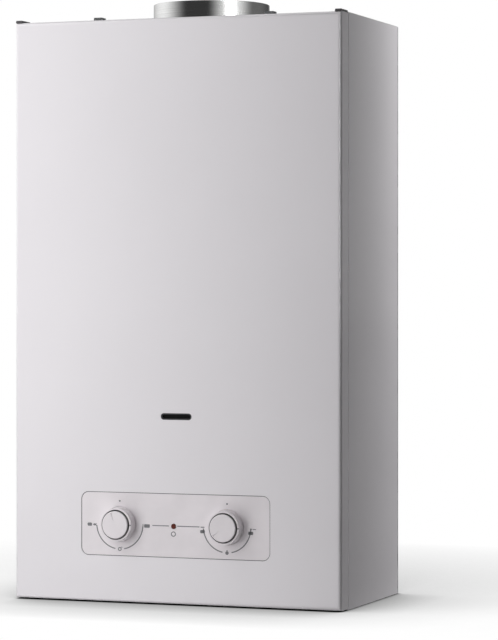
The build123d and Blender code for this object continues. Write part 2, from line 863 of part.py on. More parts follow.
manifold_rear_y = stack_front_y - manifold_gap

with BuildPart() as burner_frame:
    with BuildSketch(level(burner_low_z)):
        with Locations((0, flue_y)):
            Rectangle(stack_width, stack_depth)
            Rectangle(
                stack_width - 2 * chamber_sheet, stack_depth - 2 * chamber_sheet, mode=Mode.SUBTRACT
            )
    extrude(amount=chamber_low_z - burner_low_z)
    with BuildSketch(facing_front(stack_front_y)):
        with Locations((0, injector_z)):
            SlotOverall(blade_pitch * blade_count, 2 * blade_mouth_radius)
    extrude(amount=-chamber_sheet, mode=Mode.SUBTRACT)
    for side in (-1, 1):
        with BuildSketch(level(burner_low_z + lug_rise)):
            with BuildLine():
                lug = Polyline(
                    (side * lug_x, stack_rear_y),
                    (side * lug_x, back_y),
                    (side * (lug_x + lug_foot), back_y),
                )
                offset(lug, amount=sheet, side=Side.RIGHT if side > 0 else Side.LEFT)
            make_face()
        extrude(amount=lug_height)

with BuildPart() as burner_blades:
    for x in blade_xs:
        with BuildSketch(facing_front(frame_inner_rear)):
            with Locations((x, injector_z)):
                Circle(blade_mouth_radius)
            with Locations((x, (injector_z + blade_top - blade_head_height) / 2)):
                Rectangle(blade_neck, blade_top - blade_head_height - injector_z)
            with Locations((x, blade_top - blade_head_height / 2)):
                RectangleRounded(blade_head, blade_head_height, blade_corner)
        extrude(amount=frame_inner_rear - frame_inner_front)
        port_pitch = (frame_inner_rear - frame_inner_front) / (port_count + 1)
        with BuildSketch(level(blade_top)):
            with Locations((x, flue_y)):
                with GridLocations(1, port_pitch, 1, port_count):
                    Rectangle(blade_head - 2 * port_width, port_width)
        extrude(amount=-port_depth, mode=Mode.SUBTRACT)
        rod_along_y(
            frame_inner_front + blade_mouth_depth,
            frame_inner_front,
            x,
            injector_z,
            blade_mouth_radius - blade_wall,
            Mode.SUBTRACT,
        )

# Gas valve: a barrel along X with a cross bore for the cock, and a seat for the poppet
barrel_radius = 22.0
barrel_left_x = -106.0
barrel_right_x = -14.0
cavity_radius = 14.0
inlet_cavity = (-101.0, -74.0)
poppet_cavity = (-48.0, -32.0)
outlet_cavity = (-29.0, -20.0)
seat_orifice_radius = 8.0
way_radius = 5.0
boss_radius = 13.0
boss_front_y = -46.0
boss_gland = 6.0
plug_radius = 9.0
inlet_boss_radius = 16.0
fitting_top_z = 60.0
socket_depth = 6.0
socket_z = fitting_top_z - socket_depth
plug_reach = 13.0
plug_rear_y = valve_y + plug_reach
gas_outlet_x = -24.5
outlet_flange_half = 12.0
outlet_flange_z = 104.0
outlet_flange_thickness = 3.0
feed_radius = 6.0
feed_wall = 1.2
feed_bend = 9.0
feed_level_z = 117.0
stem_radius = 2.5
stem_end_x = -10.0
poppet_radius = 11.5
poppet_thickness = 4.0
poppet_edge = 0.8
solenoid_radius = 14.0
solenoid_edge = 2.0
plunger_end_gap = 1.0
spindle_end_gap = 1.0
spindle_front_y = front_y - knob_bore_depth + spindle_end_gap
solenoid_length = 27.0
solenoid_bore_depth = 18.0
plunger_radius = 3.5
plunger_travel = 3.0
plunger_disc_radius = 8.0
plunger_disc = 2.0

with BuildPart() as gas_valve_body:
    rod_along_x(barrel_left_x, barrel_right_x, valve_y, knob_z, barrel_radius)
    rod_along_y(valve_y, boss_front_y, gas_knob_x, knob_z, boss_radius)
    rod_along_z(socket_z, knob_z, gas_inlet_x, valve_y, inlet_boss_radius)
    block(
        (gas_outlet_x - outlet_flange_half, barrel_right_x),
        (valve_y - outlet_flange_half, valve_y + outlet_flange_half),
        (knob_z, outlet_flange_z),
    )
    for x_from, x_to, bore in (
        (barrel_left_x, inlet_cavity[0], plunger_radius + running_gap),
        (*inlet_cavity, cavity_radius),
        (inlet_cavity[1], poppet_cavity[0], way_radius),
        (*poppet_cavity, cavity_radius),
        (poppet_cavity[1], outlet_cavity[0], seat_orifice_radius),
        (*outlet_cavity, cavity_radius),
        (outlet_cavity[1], barrel_right_x, stem_radius + running_gap),
    ):
        rod_along_x(x_from, x_to, valve_y, knob_z, bore, Mode.SUBTRACT)
    rod_along_y(plug_rear_y, boss_front_y + boss_gland, gas_knob_x, knob_z, plug_radius, Mode.SUBTRACT)
    rod_along_y(
        valve_y, boss_front_y, gas_knob_x, knob_z, spindle_radius + running_gap, Mode.SUBTRACT
    )
    rod_along_z(
        socket_z, fitting_top_z, gas_inlet_x, valve_y, thread_radius + running_gap, Mode.SUBTRACT
    )
    rod_along_z(fitting_top_z, knob_z, gas_inlet_x, valve_y, fitting_bore, Mode.SUBTRACT)
    rod_along_z(
        knob_z, outlet_flange_z, gas_outlet_x, valve_y, feed_radius - feed_wall, Mode.SUBTRACT
    )

with BuildPart() as gas_manifold:
    manifold_half = blade_pitch * blade_count / 2
    block(
        (-manifold_half, manifold_half),
        (manifold_rear_y - manifold_side, manifold_rear_y),
        (injector_z - manifold_side / 2, injector_z + manifold_side / 2),
    )
    fillet(gas_manifold.edges().filter_by(Axis.X), radius=manifold_corner)
    for x in blade_xs:
        rod_along_y(
            manifold_rear_y,
            manifold_rear_y - injector_thread - joint_gap,
            x,
            injector_z,
            injector_thread_radius,
            Mode.SUBTRACT,
        )
    for side in (-1, 1):
        arm_x = side * manifold_half
        block(
            (arm_x - manifold_arm / 2, arm_x + manifold_arm / 2),
            (manifold_rear_y - manifold_side / 2, stack_front_y),
            (injector_z - manifold_arm_height / 2, injector_z + manifold_arm_height / 2),
        )
    feed_y = manifold_rear_y - manifold_side / 2
    bent_tube(
        [
            (gas_outlet_x, valve_y, outlet_flange_z + outlet_flange_thickness),
            (gas_outlet_x, valve_y, feed_level_z),
            (gas_outlet_x, feed_y, feed_level_z),
            (gas_outlet_x, feed_y, injector_z - manifold_side / 2 + manifold_corner),
        ],
        feed_bend,
        feed_radius,
    )
    block(
        (gas_outlet_x - outlet_flange_half, barrel_right_x),
        (valve_y - outlet_flange_half, valve_y + outlet_flange_half),
        (outlet_flange_z, outlet_flange_z + outlet_flange_thickness),
    )

with BuildPart() as injectors:
    for x in blade_xs:
        with BuildSketch(facing_front(manifold_rear_y + injector_flange)):
            with Locations((x, injector_z)):
                RegularPolygon(injector_hex / 2, 6)
        extrude(amount=injector_flange)
        rod_along_y(
            manifold_rear_y, manifold_rear_y - injector_thread, x, injector_z, injector_thread_radius
        )
        with BuildSketch(facing_front(manifold_rear_y + injector_flange)):
            with Locations((x, injector_z)):
                Circle(injector_radius)
        extrude(amount=-(manifold_gap - injector_end_gap), taper=injector_taper)

with BuildPart() as gas_spindle:
    rod_along_y(
        plug_rear_y - joint_gap,
        boss_front_y + boss_gland + joint_gap,
        gas_knob_x,
        knob_z,
        plug_radius - running_gap,
    )
    rod_along_y(
        boss_front_y + boss_gland + joint_gap,
        spindle_front_y,
        gas_knob_x,
        knob_z,
        spindle_radius,
    )
    rod_along_x(
        gas_knob_x - plug_radius, gas_knob_x + plug_radius, valve_y, knob_z, way_radius, Mode.SUBTRACT
    )

with BuildPart() as gas_poppet:
    poppet_right_x = poppet_cavity[1] - joint_gap
    rod_along_x(poppet_right_x - poppet_thickness, poppet_right_x, valve_y, knob_z, poppet_radius)
    fillet(gas_poppet.edges(), radius=poppet_edge)
    rod_along_x(poppet_right_x, stem_end_x, valve_y, knob_z, stem_radius)

# Spring behind the poppet: each half turn is one arc that climbs half a pitch
spring_wire = 0.5
spring_radius = 8.0
spring_turns = 4
spring_left_x = poppet_cavity[0] + spring_wire
spring_right_x = poppet_right_x - poppet_thickness - spring_wire
spring_pitch = (spring_right_x - spring_left_x) / spring_turns
print("least gap between turns of the poppet spring", round(spring_pitch - 2 * spring_wire, 2))

with BuildPart() as poppet_spring:
    with BuildLine() as curls:
        for n in range(2 * spring_turns):
            up = 1 if n % 2 == 0 else -1
            x = spring_left_x + n * spring_pitch / 2
            ThreePointArc(
                (x, valve_y, knob_z + up * spring_radius),
                (x + spring_pitch / 4, valve_y + up * spring_radius, knob_z),
                (x + spring_pitch / 2, valve_y, knob_z - up * spring_radius),
            )
    with BuildSketch(Plane(origin=curls.wires()[0] @ 0, z_dir=curls.wires()[0] % 0)):
        Circle(spring_wire)
    sweep(path=curls.wires()[0])

# Safety solenoid on the left end of the barrel, with the plunger that shuts the way to the cock
solenoid_left_x = barrel_left_x - solenoid_length

with BuildPart() as solenoid:
    rod_along_x(solenoid_left_x, barrel_left_x, valve_y, knob_z, solenoid_radius)
    fillet(solenoid.faces().sort_by(Axis.X)[0].edges(), radius=solenoid_edge)
    rod_along_x(
        barrel_left_x - solenoid_bore_depth,
        barrel_left_x,
        valve_y,
        knob_z,
        plunger_radius + running_gap,
        Mode.SUBTRACT,
    )

with BuildPart() as solenoid_plunger:
    plunger_right_x = inlet_cavity[1] - joint_gap
    plunger_left_x = barrel_left_x - solenoid_bore_depth + plunger_travel + plunger_end_gap
    rod_along_x(plunger_left_x, plunger_right_x, valve_y, knob_z, plunger_radius)
    rod_along_x(plunger_right_x - plunger_disc, plunger_right_x, valve_y, knob_z, plunger_disc_radius)

# Switch bracket, microswitch and its lever, over the push rod
bracket_sheet = 1.2
bracket_half_depth = 10.0
bracket_drop = 18.0
bracket_hole_gap = 1.5
switch_low_z = 88.0
switch_height = 26.0
switch_depth = 10.0
switch_width = 15.0
button_radius = 1.5
button_rise = 0.8
button_height = 5.0
lever_sheet = 0.6
lever_width = 5.0
lever_gap = 4.6
lever_overlap = 3.0
lever_slack = 0.5
lever_pin_radius = 0.8
lever_pin_reach = 0.4
pivot_drop = 3.0
ear_sheet = 1.2
ear_reach = 2.5
collar_radius = 7.0
collar_thickness = 2.0
bracket_x = barrel_right_x
switch_x = bracket_x + bracket_sheet
switch_face_x = switch_x + switch_width
switch_front_y = valve_y - switch_depth / 2
switch_rear_y = valve_y + switch_depth / 2
lever_x = switch_face_x + lever_gap
lever_low_z = knob_z + collar_radius - lever_overlap
lever_pivot_z = switch_low_z + switch_height - pivot_drop

with BuildPart() as switch_bracket:
    block(
        (bracket_x, switch_x),
        (valve_y - bracket_half_depth, valve_y + bracket_half_depth),
        (knob_z - bracket_drop, switch_low_z + switch_height),
    )
    rod_along_x(bracket_x, switch_x, valve_y, knob_z, stem_radius + bracket_hole_gap, Mode.SUBTRACT)

with BuildPart() as microswitch:
    block(
        (switch_x, switch_face_x),
        (switch_front_y, switch_rear_y),
        (switch_low_z, switch_low_z + switch_height),
    )
    for y in (switch_front_y, switch_rear_y - ear_sheet):
        block(
            (switch_face_x, lever_x + ear_reach),
            (y, y + ear_sheet),
            (lever_pivot_z - ear_reach, lever_pivot_z + ear_reach),
        )
    rod_along_x(
        switch_face_x, switch_face_x + button_rise, valve_y, switch_low_z + button_height, button_radius
    )
    rod_along_y(
        switch_rear_y,
        switch_front_y,
        lever_x,
        lever_pivot_z,
        lever_pin_radius + running_gap,
        Mode.SUBTRACT,
    )

with BuildPart() as microswitch_lever:
    block(
        (lever_x - lever_sheet / 2, lever_x + lever_sheet / 2),
        (valve_y - lever_width / 2, valve_y + lever_width / 2),
        (lever_low_z, lever_pivot_z),
    )
    rod_along_y(
        switch_rear_y + lever_pin_reach,
        switch_front_y - lever_pin_reach,
        lever_x,
        lever_pivot_z,
        lever_pin_radius,
    )

# Water valve: two half shells with the diaphragm between, and the plate and rod that it pushes
flange_radius = 33.0
chamber_radius = 24.0
cover_left_x = 24.0
cover_cavity_x = 28.0
diaphragm_left_x = 37.0
diaphragm_thickness = 1.2
flange_thickness = 6.0
water_barrel_right_x = 98.0
water_way_radius = 12.0
neck_radius = 8.0
neck_left_x = 15.0
plate_radius = 18.0
plate_thickness = 2.0
screw_circle = 28.8
flange_screw_radius = 2.0
flange_screw_head = 3.6
flange_screw_head_height = 2.4
flange_screw_count = 6
needle_radius = 8.0
needle_front_y = -30.0
needle_length = 10.0
needle_tip_length = 12.0
needle_tip_radius = 4.0
needle_tip_taper = 12
needle_bore_depth = 9.0
tail_depth = 6.0
tail_shoulder = 1.5
needle_cavity = (-39.0, -15.0)
needle_orifice_radius = 5.0
tail_radius = 3.0
water_outlet_z = 110.0
water_outlet_radius = 11.0
cover_edge = 4.0
chamber_floor = 3.0
drain_wall = 4.0
drain_radius = 6.0
drain_head_radius = 10.0
drain_head = 3.0
drain_wing = 9.0
drain_wing_thickness = 3.0
drain_wing_height = 16.0
body_left_x = diaphragm_left_x + diaphragm_thickness
barrel_start_x = body_left_x + flange_thickness
drain_x = water_barrel_right_x - drain_wall

with BuildPart() as water_valve_cover:
    rod_along_x(cover_left_x, diaphragm_left_x, valve_y, knob_z, flange_radius)
    fillet(water_valve_cover.faces().sort_by(Axis.X)[0].edges(), radius=cover_edge)
    rod_along_x(neck_left_x, cover_left_x, valve_y, knob_z, neck_radius)
    rod_along_x(cover_cavity_x, diaphragm_left_x, valve_y, knob_z, chamber_radius, Mode.SUBTRACT)
    rod_along_x(neck_left_x, cover_cavity_x, valve_y, knob_z, stem_radius + running_gap, Mode.SUBTRACT)
    with BuildSketch(facing_right(cover_left_x)):
        with Locations((valve_y, knob_z)):
            with PolarLocations(screw_circle, flange_screw_count):
                Circle(flange_screw_radius + joint_gap / 2)
    extrude(amount=diaphragm_left_x - cover_left_x, mode=Mode.SUBTRACT)

with BuildPart() as diaphragm:
    with BuildSketch(facing_right(diaphragm_left_x)):
        with Locations((valve_y, knob_z)):
            Circle(flange_radius)
            with PolarLocations(screw_circle, flange_screw_count):
                Circle(flange_screw_radius + joint_gap / 2, mode=Mode.SUBTRACT)
    extrude(amount=diaphragm_thickness)

with BuildPart() as water_valve_body:
    rod_along_x(body_left_x, barrel_start_x, valve_y, knob_z, flange_radius)
    rod_along_x(barrel_start_x, water_barrel_right_x, valve_y, knob_z, barrel_radius)
    rod_along_y(valve_y, boss_front_y, temperature_knob_x, knob_z, boss_radius)
    rod_along_z(socket_z, knob_z, cold_inlet_x, valve_y, inlet_boss_radius)
    rod_along_z(knob_z, water_outlet_z, cold_inlet_x, valve_y, water_outlet_radius)
    for x_from, x_to, bore in (
        (body_left_x, body_left_x + chamber_floor, chamber_radius),
        (body_left_x + chamber_floor, drain_x, water_way_radius),
        (drain_x, water_barrel_right_x, drain_radius + running_gap),
    ):
        rod_along_x(x_from, x_to, valve_y, knob_z, bore, Mode.SUBTRACT)
    for y_from, y_to, bore in (
        (valve_y, needle_cavity[1], needle_orifice_radius),
        (needle_cavity[1], needle_cavity[0], needle_radius + running_gap),
        (needle_cavity[0], boss_front_y, spindle_radius + running_gap),
    ):
        rod_along_y(y_from, y_to, temperature_knob_x, knob_z, bore, Mode.SUBTRACT)
    rod_along_z(
        socket_z, fitting_top_z, cold_inlet_x, valve_y, thread_radius + running_gap, Mode.SUBTRACT
    )
    rod_along_z(fitting_top_z, knob_z, cold_inlet_x, valve_y, fitting_bore, Mode.SUBTRACT)
    rod_along_z(knob_z, water_outlet_z, cold_inlet_x, valve_y, fitting_bore, Mode.SUBTRACT)
    with BuildSketch(facing_right(body_left_x)):
        with Locations((valve_y, knob_z)):
            with PolarLocations(screw_circle, flange_screw_count):
                Circle(flange_screw_radius + joint_gap / 2)
    extrude(amount=flange_thickness, mode=Mode.SUBTRACT)

with BuildPart() as valve_screws:
    with BuildSketch(facing_right(cover_left_x)):
        with Locations((valve_y, knob_z)):
            with PolarLocations(screw_circle, flange_screw_count):
                Circle(flange_screw_radius)
    extrude(amount=barrel_start_x - cover_left_x)
    with BuildSketch(facing_right(cover_left_x - flange_screw_head_height)):
        with Locations((valve_y, knob_z)):
            with PolarLocations(screw_circle, flange_screw_count):
                RegularPolygon(flange_screw_head, 6)
    extrude(amount=flange_screw_head_height)

push_collar_x = lever_x + lever_sheet / 2 + lever_slack
with BuildPart() as push_rod:
    plate_right_x = diaphragm_left_x - joint_gap
    rod_along_x(plate_right_x - plate_thickness, plate_right_x, valve_y, knob_z, plate_radius)
    rod_along_x(stem_end_x + joint_gap, plate_right_x - plate_thickness, valve_y, knob_z, stem_radius)
    rod_along_x(push_collar_x, push_collar_x + collar_thickness, valve_y, knob_z, collar_radius)

spindle_rear_y = needle_cavity[0] + tail_shoulder
with BuildPart() as temperature_spindle:
    rod_along_y(spindle_rear_y, spindle_front_y, temperature_knob_x, knob_z, spindle_radius)
    rod_along_y(
        needle_front_y + tail_depth, spindle_rear_y, temperature_knob_x, knob_z, tail_radius
    )

needle_rear_y = needle_front_y + needle_length
with BuildPart() as flow_needle:
    rod_along_y(needle_rear_y, needle_front_y, temperature_knob_x, knob_z, needle_radius)
    with BuildSketch(facing_front(needle_rear_y)):
        with Locations((temperature_knob_x, knob_z)):
            Circle(needle_tip_radius)
    extrude(amount=-needle_tip_length, taper=needle_tip_taper)
    rod_along_y(
        needle_front_y + needle_bore_depth,
        needle_front_y,
        temperature_knob_x,
        knob_z,
        tail_radius + running_gap,
        Mode.SUBTRACT,
    )

with BuildPart() as drain_plug:
    head_x = water_barrel_right_x + drain_head
    rod_along_x(drain_x, water_barrel_right_x, valve_y, knob_z, drain_radius)
    rod_along_x(water_barrel_right_x, head_x, valve_y, knob_z, drain_head_radius)
    block(
        (head_x, head_x + drain_wing),
        (valve_y - drain_wing_thickness / 2, valve_y + drain_wing_thickness / 2),
        (knob_z - drain_wing_height / 2, knob_z + drain_wing_height / 2),
    )

# Fittings through the tray, their backnuts and the filter in the cold one
with BuildPart() as pipe_fittings:
    for x, y in connections:
        rod_along_z(thread_end_z, fitting_top_z, x, y, thread_radius)
        with BuildSketch(level(tray_z - fitting_hex_height)):
            with Locations((x, y)):
                RegularPolygon(fitting_hex / 2, 6, major_radius=False)
        extrude(amount=fitting_hex_height)
        rod_along_z(thread_end_z, fitting_top_z, x, y, fitting_bore, Mode.SUBTRACT)

with BuildPart() as backnuts:
    for x, y in connections:
        with BuildSketch(level(tray_top)):
            with Locations((x, y)):
                RegularPolygon(nut_hex / 2, 6, major_radius=False)
                Circle(thread_radius + running_gap, mode=Mode.SUBTRACT)
        extrude(amount=nut_height)

filter_setback = 6.0
filter_length = 24.0
filter_wall = 1.5
filter_radius = fitting_bore - running_gap
filter_low_z = thread_end_z + filter_setback
filter_high_z = filter_low_z + filter_length

with BuildPart() as inlet_filter:
    rod_along_z(filter_low_z, filter_high_z, cold_inlet_x, valve_y, filter_radius)
    rod_along_z(
        filter_low_z,
        filter_high_z - filter_wall,
        cold_inlet_x,
        valve_y,
        filter_radius - filter_wall,
        Mode.SUBTRACT,
    )

# Hot water pipe, from the last pass down the left side to the middle fitting
hot_reach = 20.0
hot_drop_x = -pass_end_x - hot_reach
hot_level_z = 106.0
hot_bend = 18.0
union_height = 12.0
union_hex = 25.0

with BuildPart() as hot_water_pipe:
    bent_tube(
        [
            (-pass_end_x, pass_ys[3], pass_z),
            (hot_drop_x, pass_ys[3], pass_z),
            (hot_drop_x, pass_ys[3], hot_level_z),
            (hot_outlet_x, hot_outlet_y, hot_level_z),
            (hot_outlet_x, hot_outlet_y, fitting_top_z),
        ],
        [riser_bend, hot_bend, hot_bend],
        tube_radius,
    )
    with BuildSketch(level(socket_z)):
        with Locations((hot_outlet_x, hot_outlet_y)):
            RegularPolygon(union_hex / 2, 6, major_radius=False)
    extrude(amount=union_height)
    rod_along_z(
        socket_z,
        fitting_top_z,
        hot_outlet_x,
        hot_outlet_y,
        thread_radius + running_gap,
        Mode.SUBTRACT,
    )

# Cold feed pipe, from the top of the water valve to the coil
cold_rise = 9.0
cold_bend = 8.0
cold_level_z = water_outlet_z + cold_rise

with BuildPart() as cold_feed_pipe:
    bent_tube(
        [
            (cold_inlet_x, valve_y, water_outlet_z),
            (cold_inlet_x, valve_y, cold_level_z),
            (coil_x, coil_start_y, cold_level_z),
            (coil_x, coil_start_y, coil_start_z),
        ],
        cold_bend,
        tube_radius,
    )

# Limit switches: one on the fins, one on the skirt of the hood
limit_radius = 8.0
limit_height = 6.0
limit_x = 62.0
tag_spacing = 6.0
tag_sheet = 0.8
tag_length = 7.0
tag_height = 6.0

with BuildPart() as limit_switches:
    for z in (pass_z, hood_low_z + hood_skirt / 2):
        rod_along_y(stack_front_y, stack_front_y - limit_height, limit_x, z, limit_radius)
        for x in (limit_x - tag_spacing / 2, limit_x + tag_spacing / 2):
            block(
                (x - tag_sheet / 2, x + tag_sheet / 2),
                (stack_front_y - limit_height - tag_length, stack_front_y - limit_height),
                (z - tag_height / 2, z + tag_height / 2),
            )

# Ignition box on the left side panel
ignition_depth = 76.0
ignition_width = 38.0
ignition_height = 84.0
ignition_front_y = -34.0
ignition_low_z = 100.0
ignition_corner = 3.0
tower_rises = (24.0, 60.0)
tower_setback = 20.0
tower_radius = 4.0
tower_length = 6.0
ignition_x = (-side_inner_x, -side_inner_x + ignition_width)
ignition_y = (ignition_front_y, ignition_front_y + ignition_depth)
ignition_z = (ignition_low_z, ignition_low_z + ignition_height)
tower_y = ignition_front_y + tower_setback
tower_end_x = ignition_x[1] + tower_length

with BuildPart() as ignition_box:
    block(ignition_x, ignition_y, ignition_z)
    fillet(ignition_box.edges().filter_by(Axis.X), radius=ignition_corner)
    for rise in tower_rises:
        rod_along_x(ignition_x[1], tower_end_x, tower_y, ignition_low_z + rise, tower_radius)

# Battery box with two ears for its door, the cells, and the door that swings down
door_ear = 3.0
door_lip = 2.0
box_corner = 2.0
door_lip_width = 18.0
door_axis_x = battery_middle_x - box_half_x - door_barrel_radius
door_axis_z = tray_z - door_barrel_radius - door_setback
door_plate_z = (tray_z - door_thickness - door_setback, tray_z - door_setback)
battery_low_z = door_plate_z[1] + joint_gap
battery_top_z = battery_low_z + battery_length + joint_gap
nipple_z = battery_low_z + battery_length - nipple_height
door_neck_half = battery_half_y - door_ear - door_gap

with BuildPart() as battery_box:
    block(
        (battery_middle_x - box_half_x, battery_middle_x + box_half_x),
        (battery_middle_y - box_half_y, battery_middle_y + box_half_y),
        (tray_top, battery_top_z + battery_wall),
    )
    fillet(battery_box.edges().filter_by(Axis.Z), radius=box_corner)
    block(
        (battery_middle_x - battery_half_x, battery_middle_x + battery_half_x),
        (battery_middle_y - battery_half_y, battery_middle_y + battery_half_y),
        (tray_top, battery_top_z),
        Mode.SUBTRACT,
    )
    for side in (-1, 1):
        ear_inner = battery_middle_y + side * (battery_half_y - door_ear)
        ear_outer = battery_middle_y + side * (battery_half_y - joint_gap)
        block(
            (door_axis_x - door_barrel_radius, door_axis_x + door_barrel_radius),
            (min(ear_inner, ear_outer), max(ear_inner, ear_outer)),
            (door_axis_z - door_barrel_radius, tray_top + door_ear),
        )
    rod_along_y(
        battery_middle_y + battery_half_y,
        battery_middle_y - battery_half_y,
        door_axis_x,
        door_axis_z,
        door_pin_radius + running_gap,
        Mode.SUBTRACT,
    )

with BuildPart() as batteries:
    for side in (-1, 1):
        battery_y = battery_middle_y + side * (battery_radius + battery_gap / 4)
        rod_along_z(battery_low_z, nipple_z, battery_middle_x, battery_y, battery_radius)
        rod_along_z(nipple_z, nipple_z + nipple_height, battery_middle_x, battery_y, nipple_radius)

with BuildPart() as battery_door:
    door_far_x = battery_middle_x + battery_half_x - door_gap
    block(
        (battery_middle_x - battery_half_x + door_gap, door_far_x),
        (battery_middle_y - battery_half_y + door_gap, battery_middle_y + battery_half_y - door_gap),
        door_plate_z,
    )
    block(
        (door_axis_x, battery_middle_x),
        (battery_middle_y - door_neck_half, battery_middle_y + door_neck_half),
        door_plate_z,
    )
    rod_along_y(
        battery_middle_y + door_neck_half,
        battery_middle_y - door_neck_half,
        door_axis_x,
        door_axis_z,
        door_barrel_radius,
    )
    rod_along_y(
        battery_middle_y + battery_half_y - joint_gap,
        battery_middle_y - battery_half_y + joint_gap,
        door_axis_x,
        door_axis_z,
        door_pin_radius,
    )
    block(
        (door_far_x - door_lip, door_far_x),
        (battery_middle_y - door_lip_width / 2, battery_middle_y + door_lip_width / 2),
        (door_plate_z[0] - door_lip, door_plate_z[0]),
    )

# Leads that the heater holds, in lanes behind the cover, under the burner and over the tray
lead_radius = 1.6
lead_bend = 5.0
lead_front_y = -74.0
lead_exit = 14.0
lead_climb = 20.0
lead_level_x = -70.0
lead_sag = 4.0
spark_low_z, spark_high_z = (ignition_low_z + rise for rise in tower_rises)
probe_lane_z = electrode_z + 10
limit_lanes = ((probe_lane_z + 16, -3.0, 18.0), (probe_lane_z + 8, 3.0, 10.0))
limit_tag_y = stack_front_y - limit_height - tag_length
limit_levels = (pass_z, hood_low_z + hood_skirt / 2)
limit_link_y = -67.0
limit_fall = 6.0
lane_left_x = -121.0
lane_top_z = ignition_low_z + ignition_height - 8
switch_lane_z = 121.0
switch_lane_y = 14.0
lamp_lane_y = -57.0
lamp_lane_z = 64.0
battery_lane_y = -60.0
battery_lane_z = 54.0
box_under_z = ignition_low_z
coil_leads_y = (valve_y - 4, valve_y + 4)
coil_leads_z = knob_z + 6
coil_leads_x = solenoid_left_x - 13
lamp_rear_y = lamp_tab_y + sheet + lamp_flange

spark_leads = [
    (
        (tower_end_x, tower_y, spark_high_z),
        (tower_end_x + lead_exit, tower_y, spark_high_z),
        (tower_end_x + lead_climb, lead_front_y + lead_sag, spark_high_z + lead_climb),
        (lead_level_x, lead_front_y, electrode_z - lead_sag),
        (electrode_xs[0], lead_front_y, electrode_z),
        (electrode_xs[0], tail_end_y, electrode_z),
    ),
    (
        (tower_end_x, tower_y, spark_low_z),
        (tower_end_x + lead_exit, tower_y, spark_low_z),
        (tower_end_x + lead_climb, lead_front_y + lead_sag, spark_low_z + lead_climb),
        (lead_level_x, lead_front_y, electrode_z - lead_climb),
        (electrode_xs[1], lead_front_y, electrode_z),
        (electrode_xs[1], tail_end_y, electrode_z),
    ),
    (
        (ignition_x[1], switch_lane_y - lead_exit, ignition_low_z + lead_exit),
        (lane_left_x, switch_lane_y - lead_exit, ignition_low_z + lead_exit),
        (lane_left_x, lead_front_y + lead_sag, ignition_low_z + lead_exit),
        (lane_left_x, lead_front_y, probe_lane_z),
        (electrode_xs[2] - lead_bend, lead_front_y, probe_lane_z),
        (electrode_xs[2], lead_front_y, electrode_z),
        (electrode_xs[2], tail_end_y, electrode_z),
    ),
]
limit_leads = [
    (
        (limit_x + side, limit_tag_y, level_z),
        (limit_x + side, lead_front_y + lead_sag, level_z),
        (limit_x + side + limit_fall, lead_front_y, lane_z),
        (lane_left_x + side, lead_front_y, lane_z),
        (lane_left_x + side, box_y, lane_top_z),
        (ignition_x[1], box_y, lane_top_z),
    )
    for level_z, (lane_z, side, box_y) in zip(limit_levels, limit_lanes)
]
limit_link = (
    (limit_x - tag_spacing / 2, limit_tag_y, limit_levels[1]),
    (limit_x - tag_spacing / 2, limit_link_y, limit_levels[1]),
    (limit_x + tag_spacing / 2, limit_link_y, limit_levels[0]),
    (limit_x + tag_spacing / 2, limit_tag_y, limit_levels[0]),
)
solenoid_leads = [
    (
        (solenoid_left_x, y, coil_leads_z),
        (coil_leads_x, y, coil_leads_z),
        (coil_leads_x, y, box_under_z),
    )
    for y in coil_leads_y
]
switch_lead = (
    ((switch_x + switch_face_x) / 2, valve_y + lead_radius, switch_low_z + switch_height),
    ((switch_x + switch_face_x) / 2, valve_y + lead_radius, switch_lane_z),
    ((switch_x + switch_face_x) / 2, switch_lane_y, switch_lane_z),
    (ignition_x[1], switch_lane_y, switch_lane_z),
)
lamp_lead = (
    (lens_x, lamp_rear_y, lens_z),
    (lens_x, lamp_lane_y, lens_z),
    (lens_x, lamp_lane_y, lamp_lane_z),
    (coil_leads_x, lamp_lane_y, lamp_lane_z),
    (coil_leads_x - lead_exit, ignition_front_y + lead_exit, lamp_lane_z + lead_exit),
    (coil_leads_x - lead_exit, ignition_front_y + lead_exit, box_under_z),
)
battery_lead = (
    (battery_middle_x, battery_middle_y - box_half_y, lamp_lane_z),
    (battery_middle_x, battery_lane_y + lead_climb, lamp_lane_z),
    (battery_middle_x - 2 * lead_climb, battery_lane_y, battery_lane_z),
    (coil_leads_x, battery_lane_y, battery_lane_z),
    (coil_leads_x - lead_climb, ignition_front_y + lead_exit, lamp_lane_z),
    (coil_leads_x - lead_climb, ignition_front_y + lead_exit, box_under_z),
)

with BuildPart() as leads:
    for run in [*spark_leads, *limit_leads, limit_link, *solenoid_leads, switch_lead, lamp_lead, battery_lead]:
        bent_tube(run, lead_bend, lead_radius)


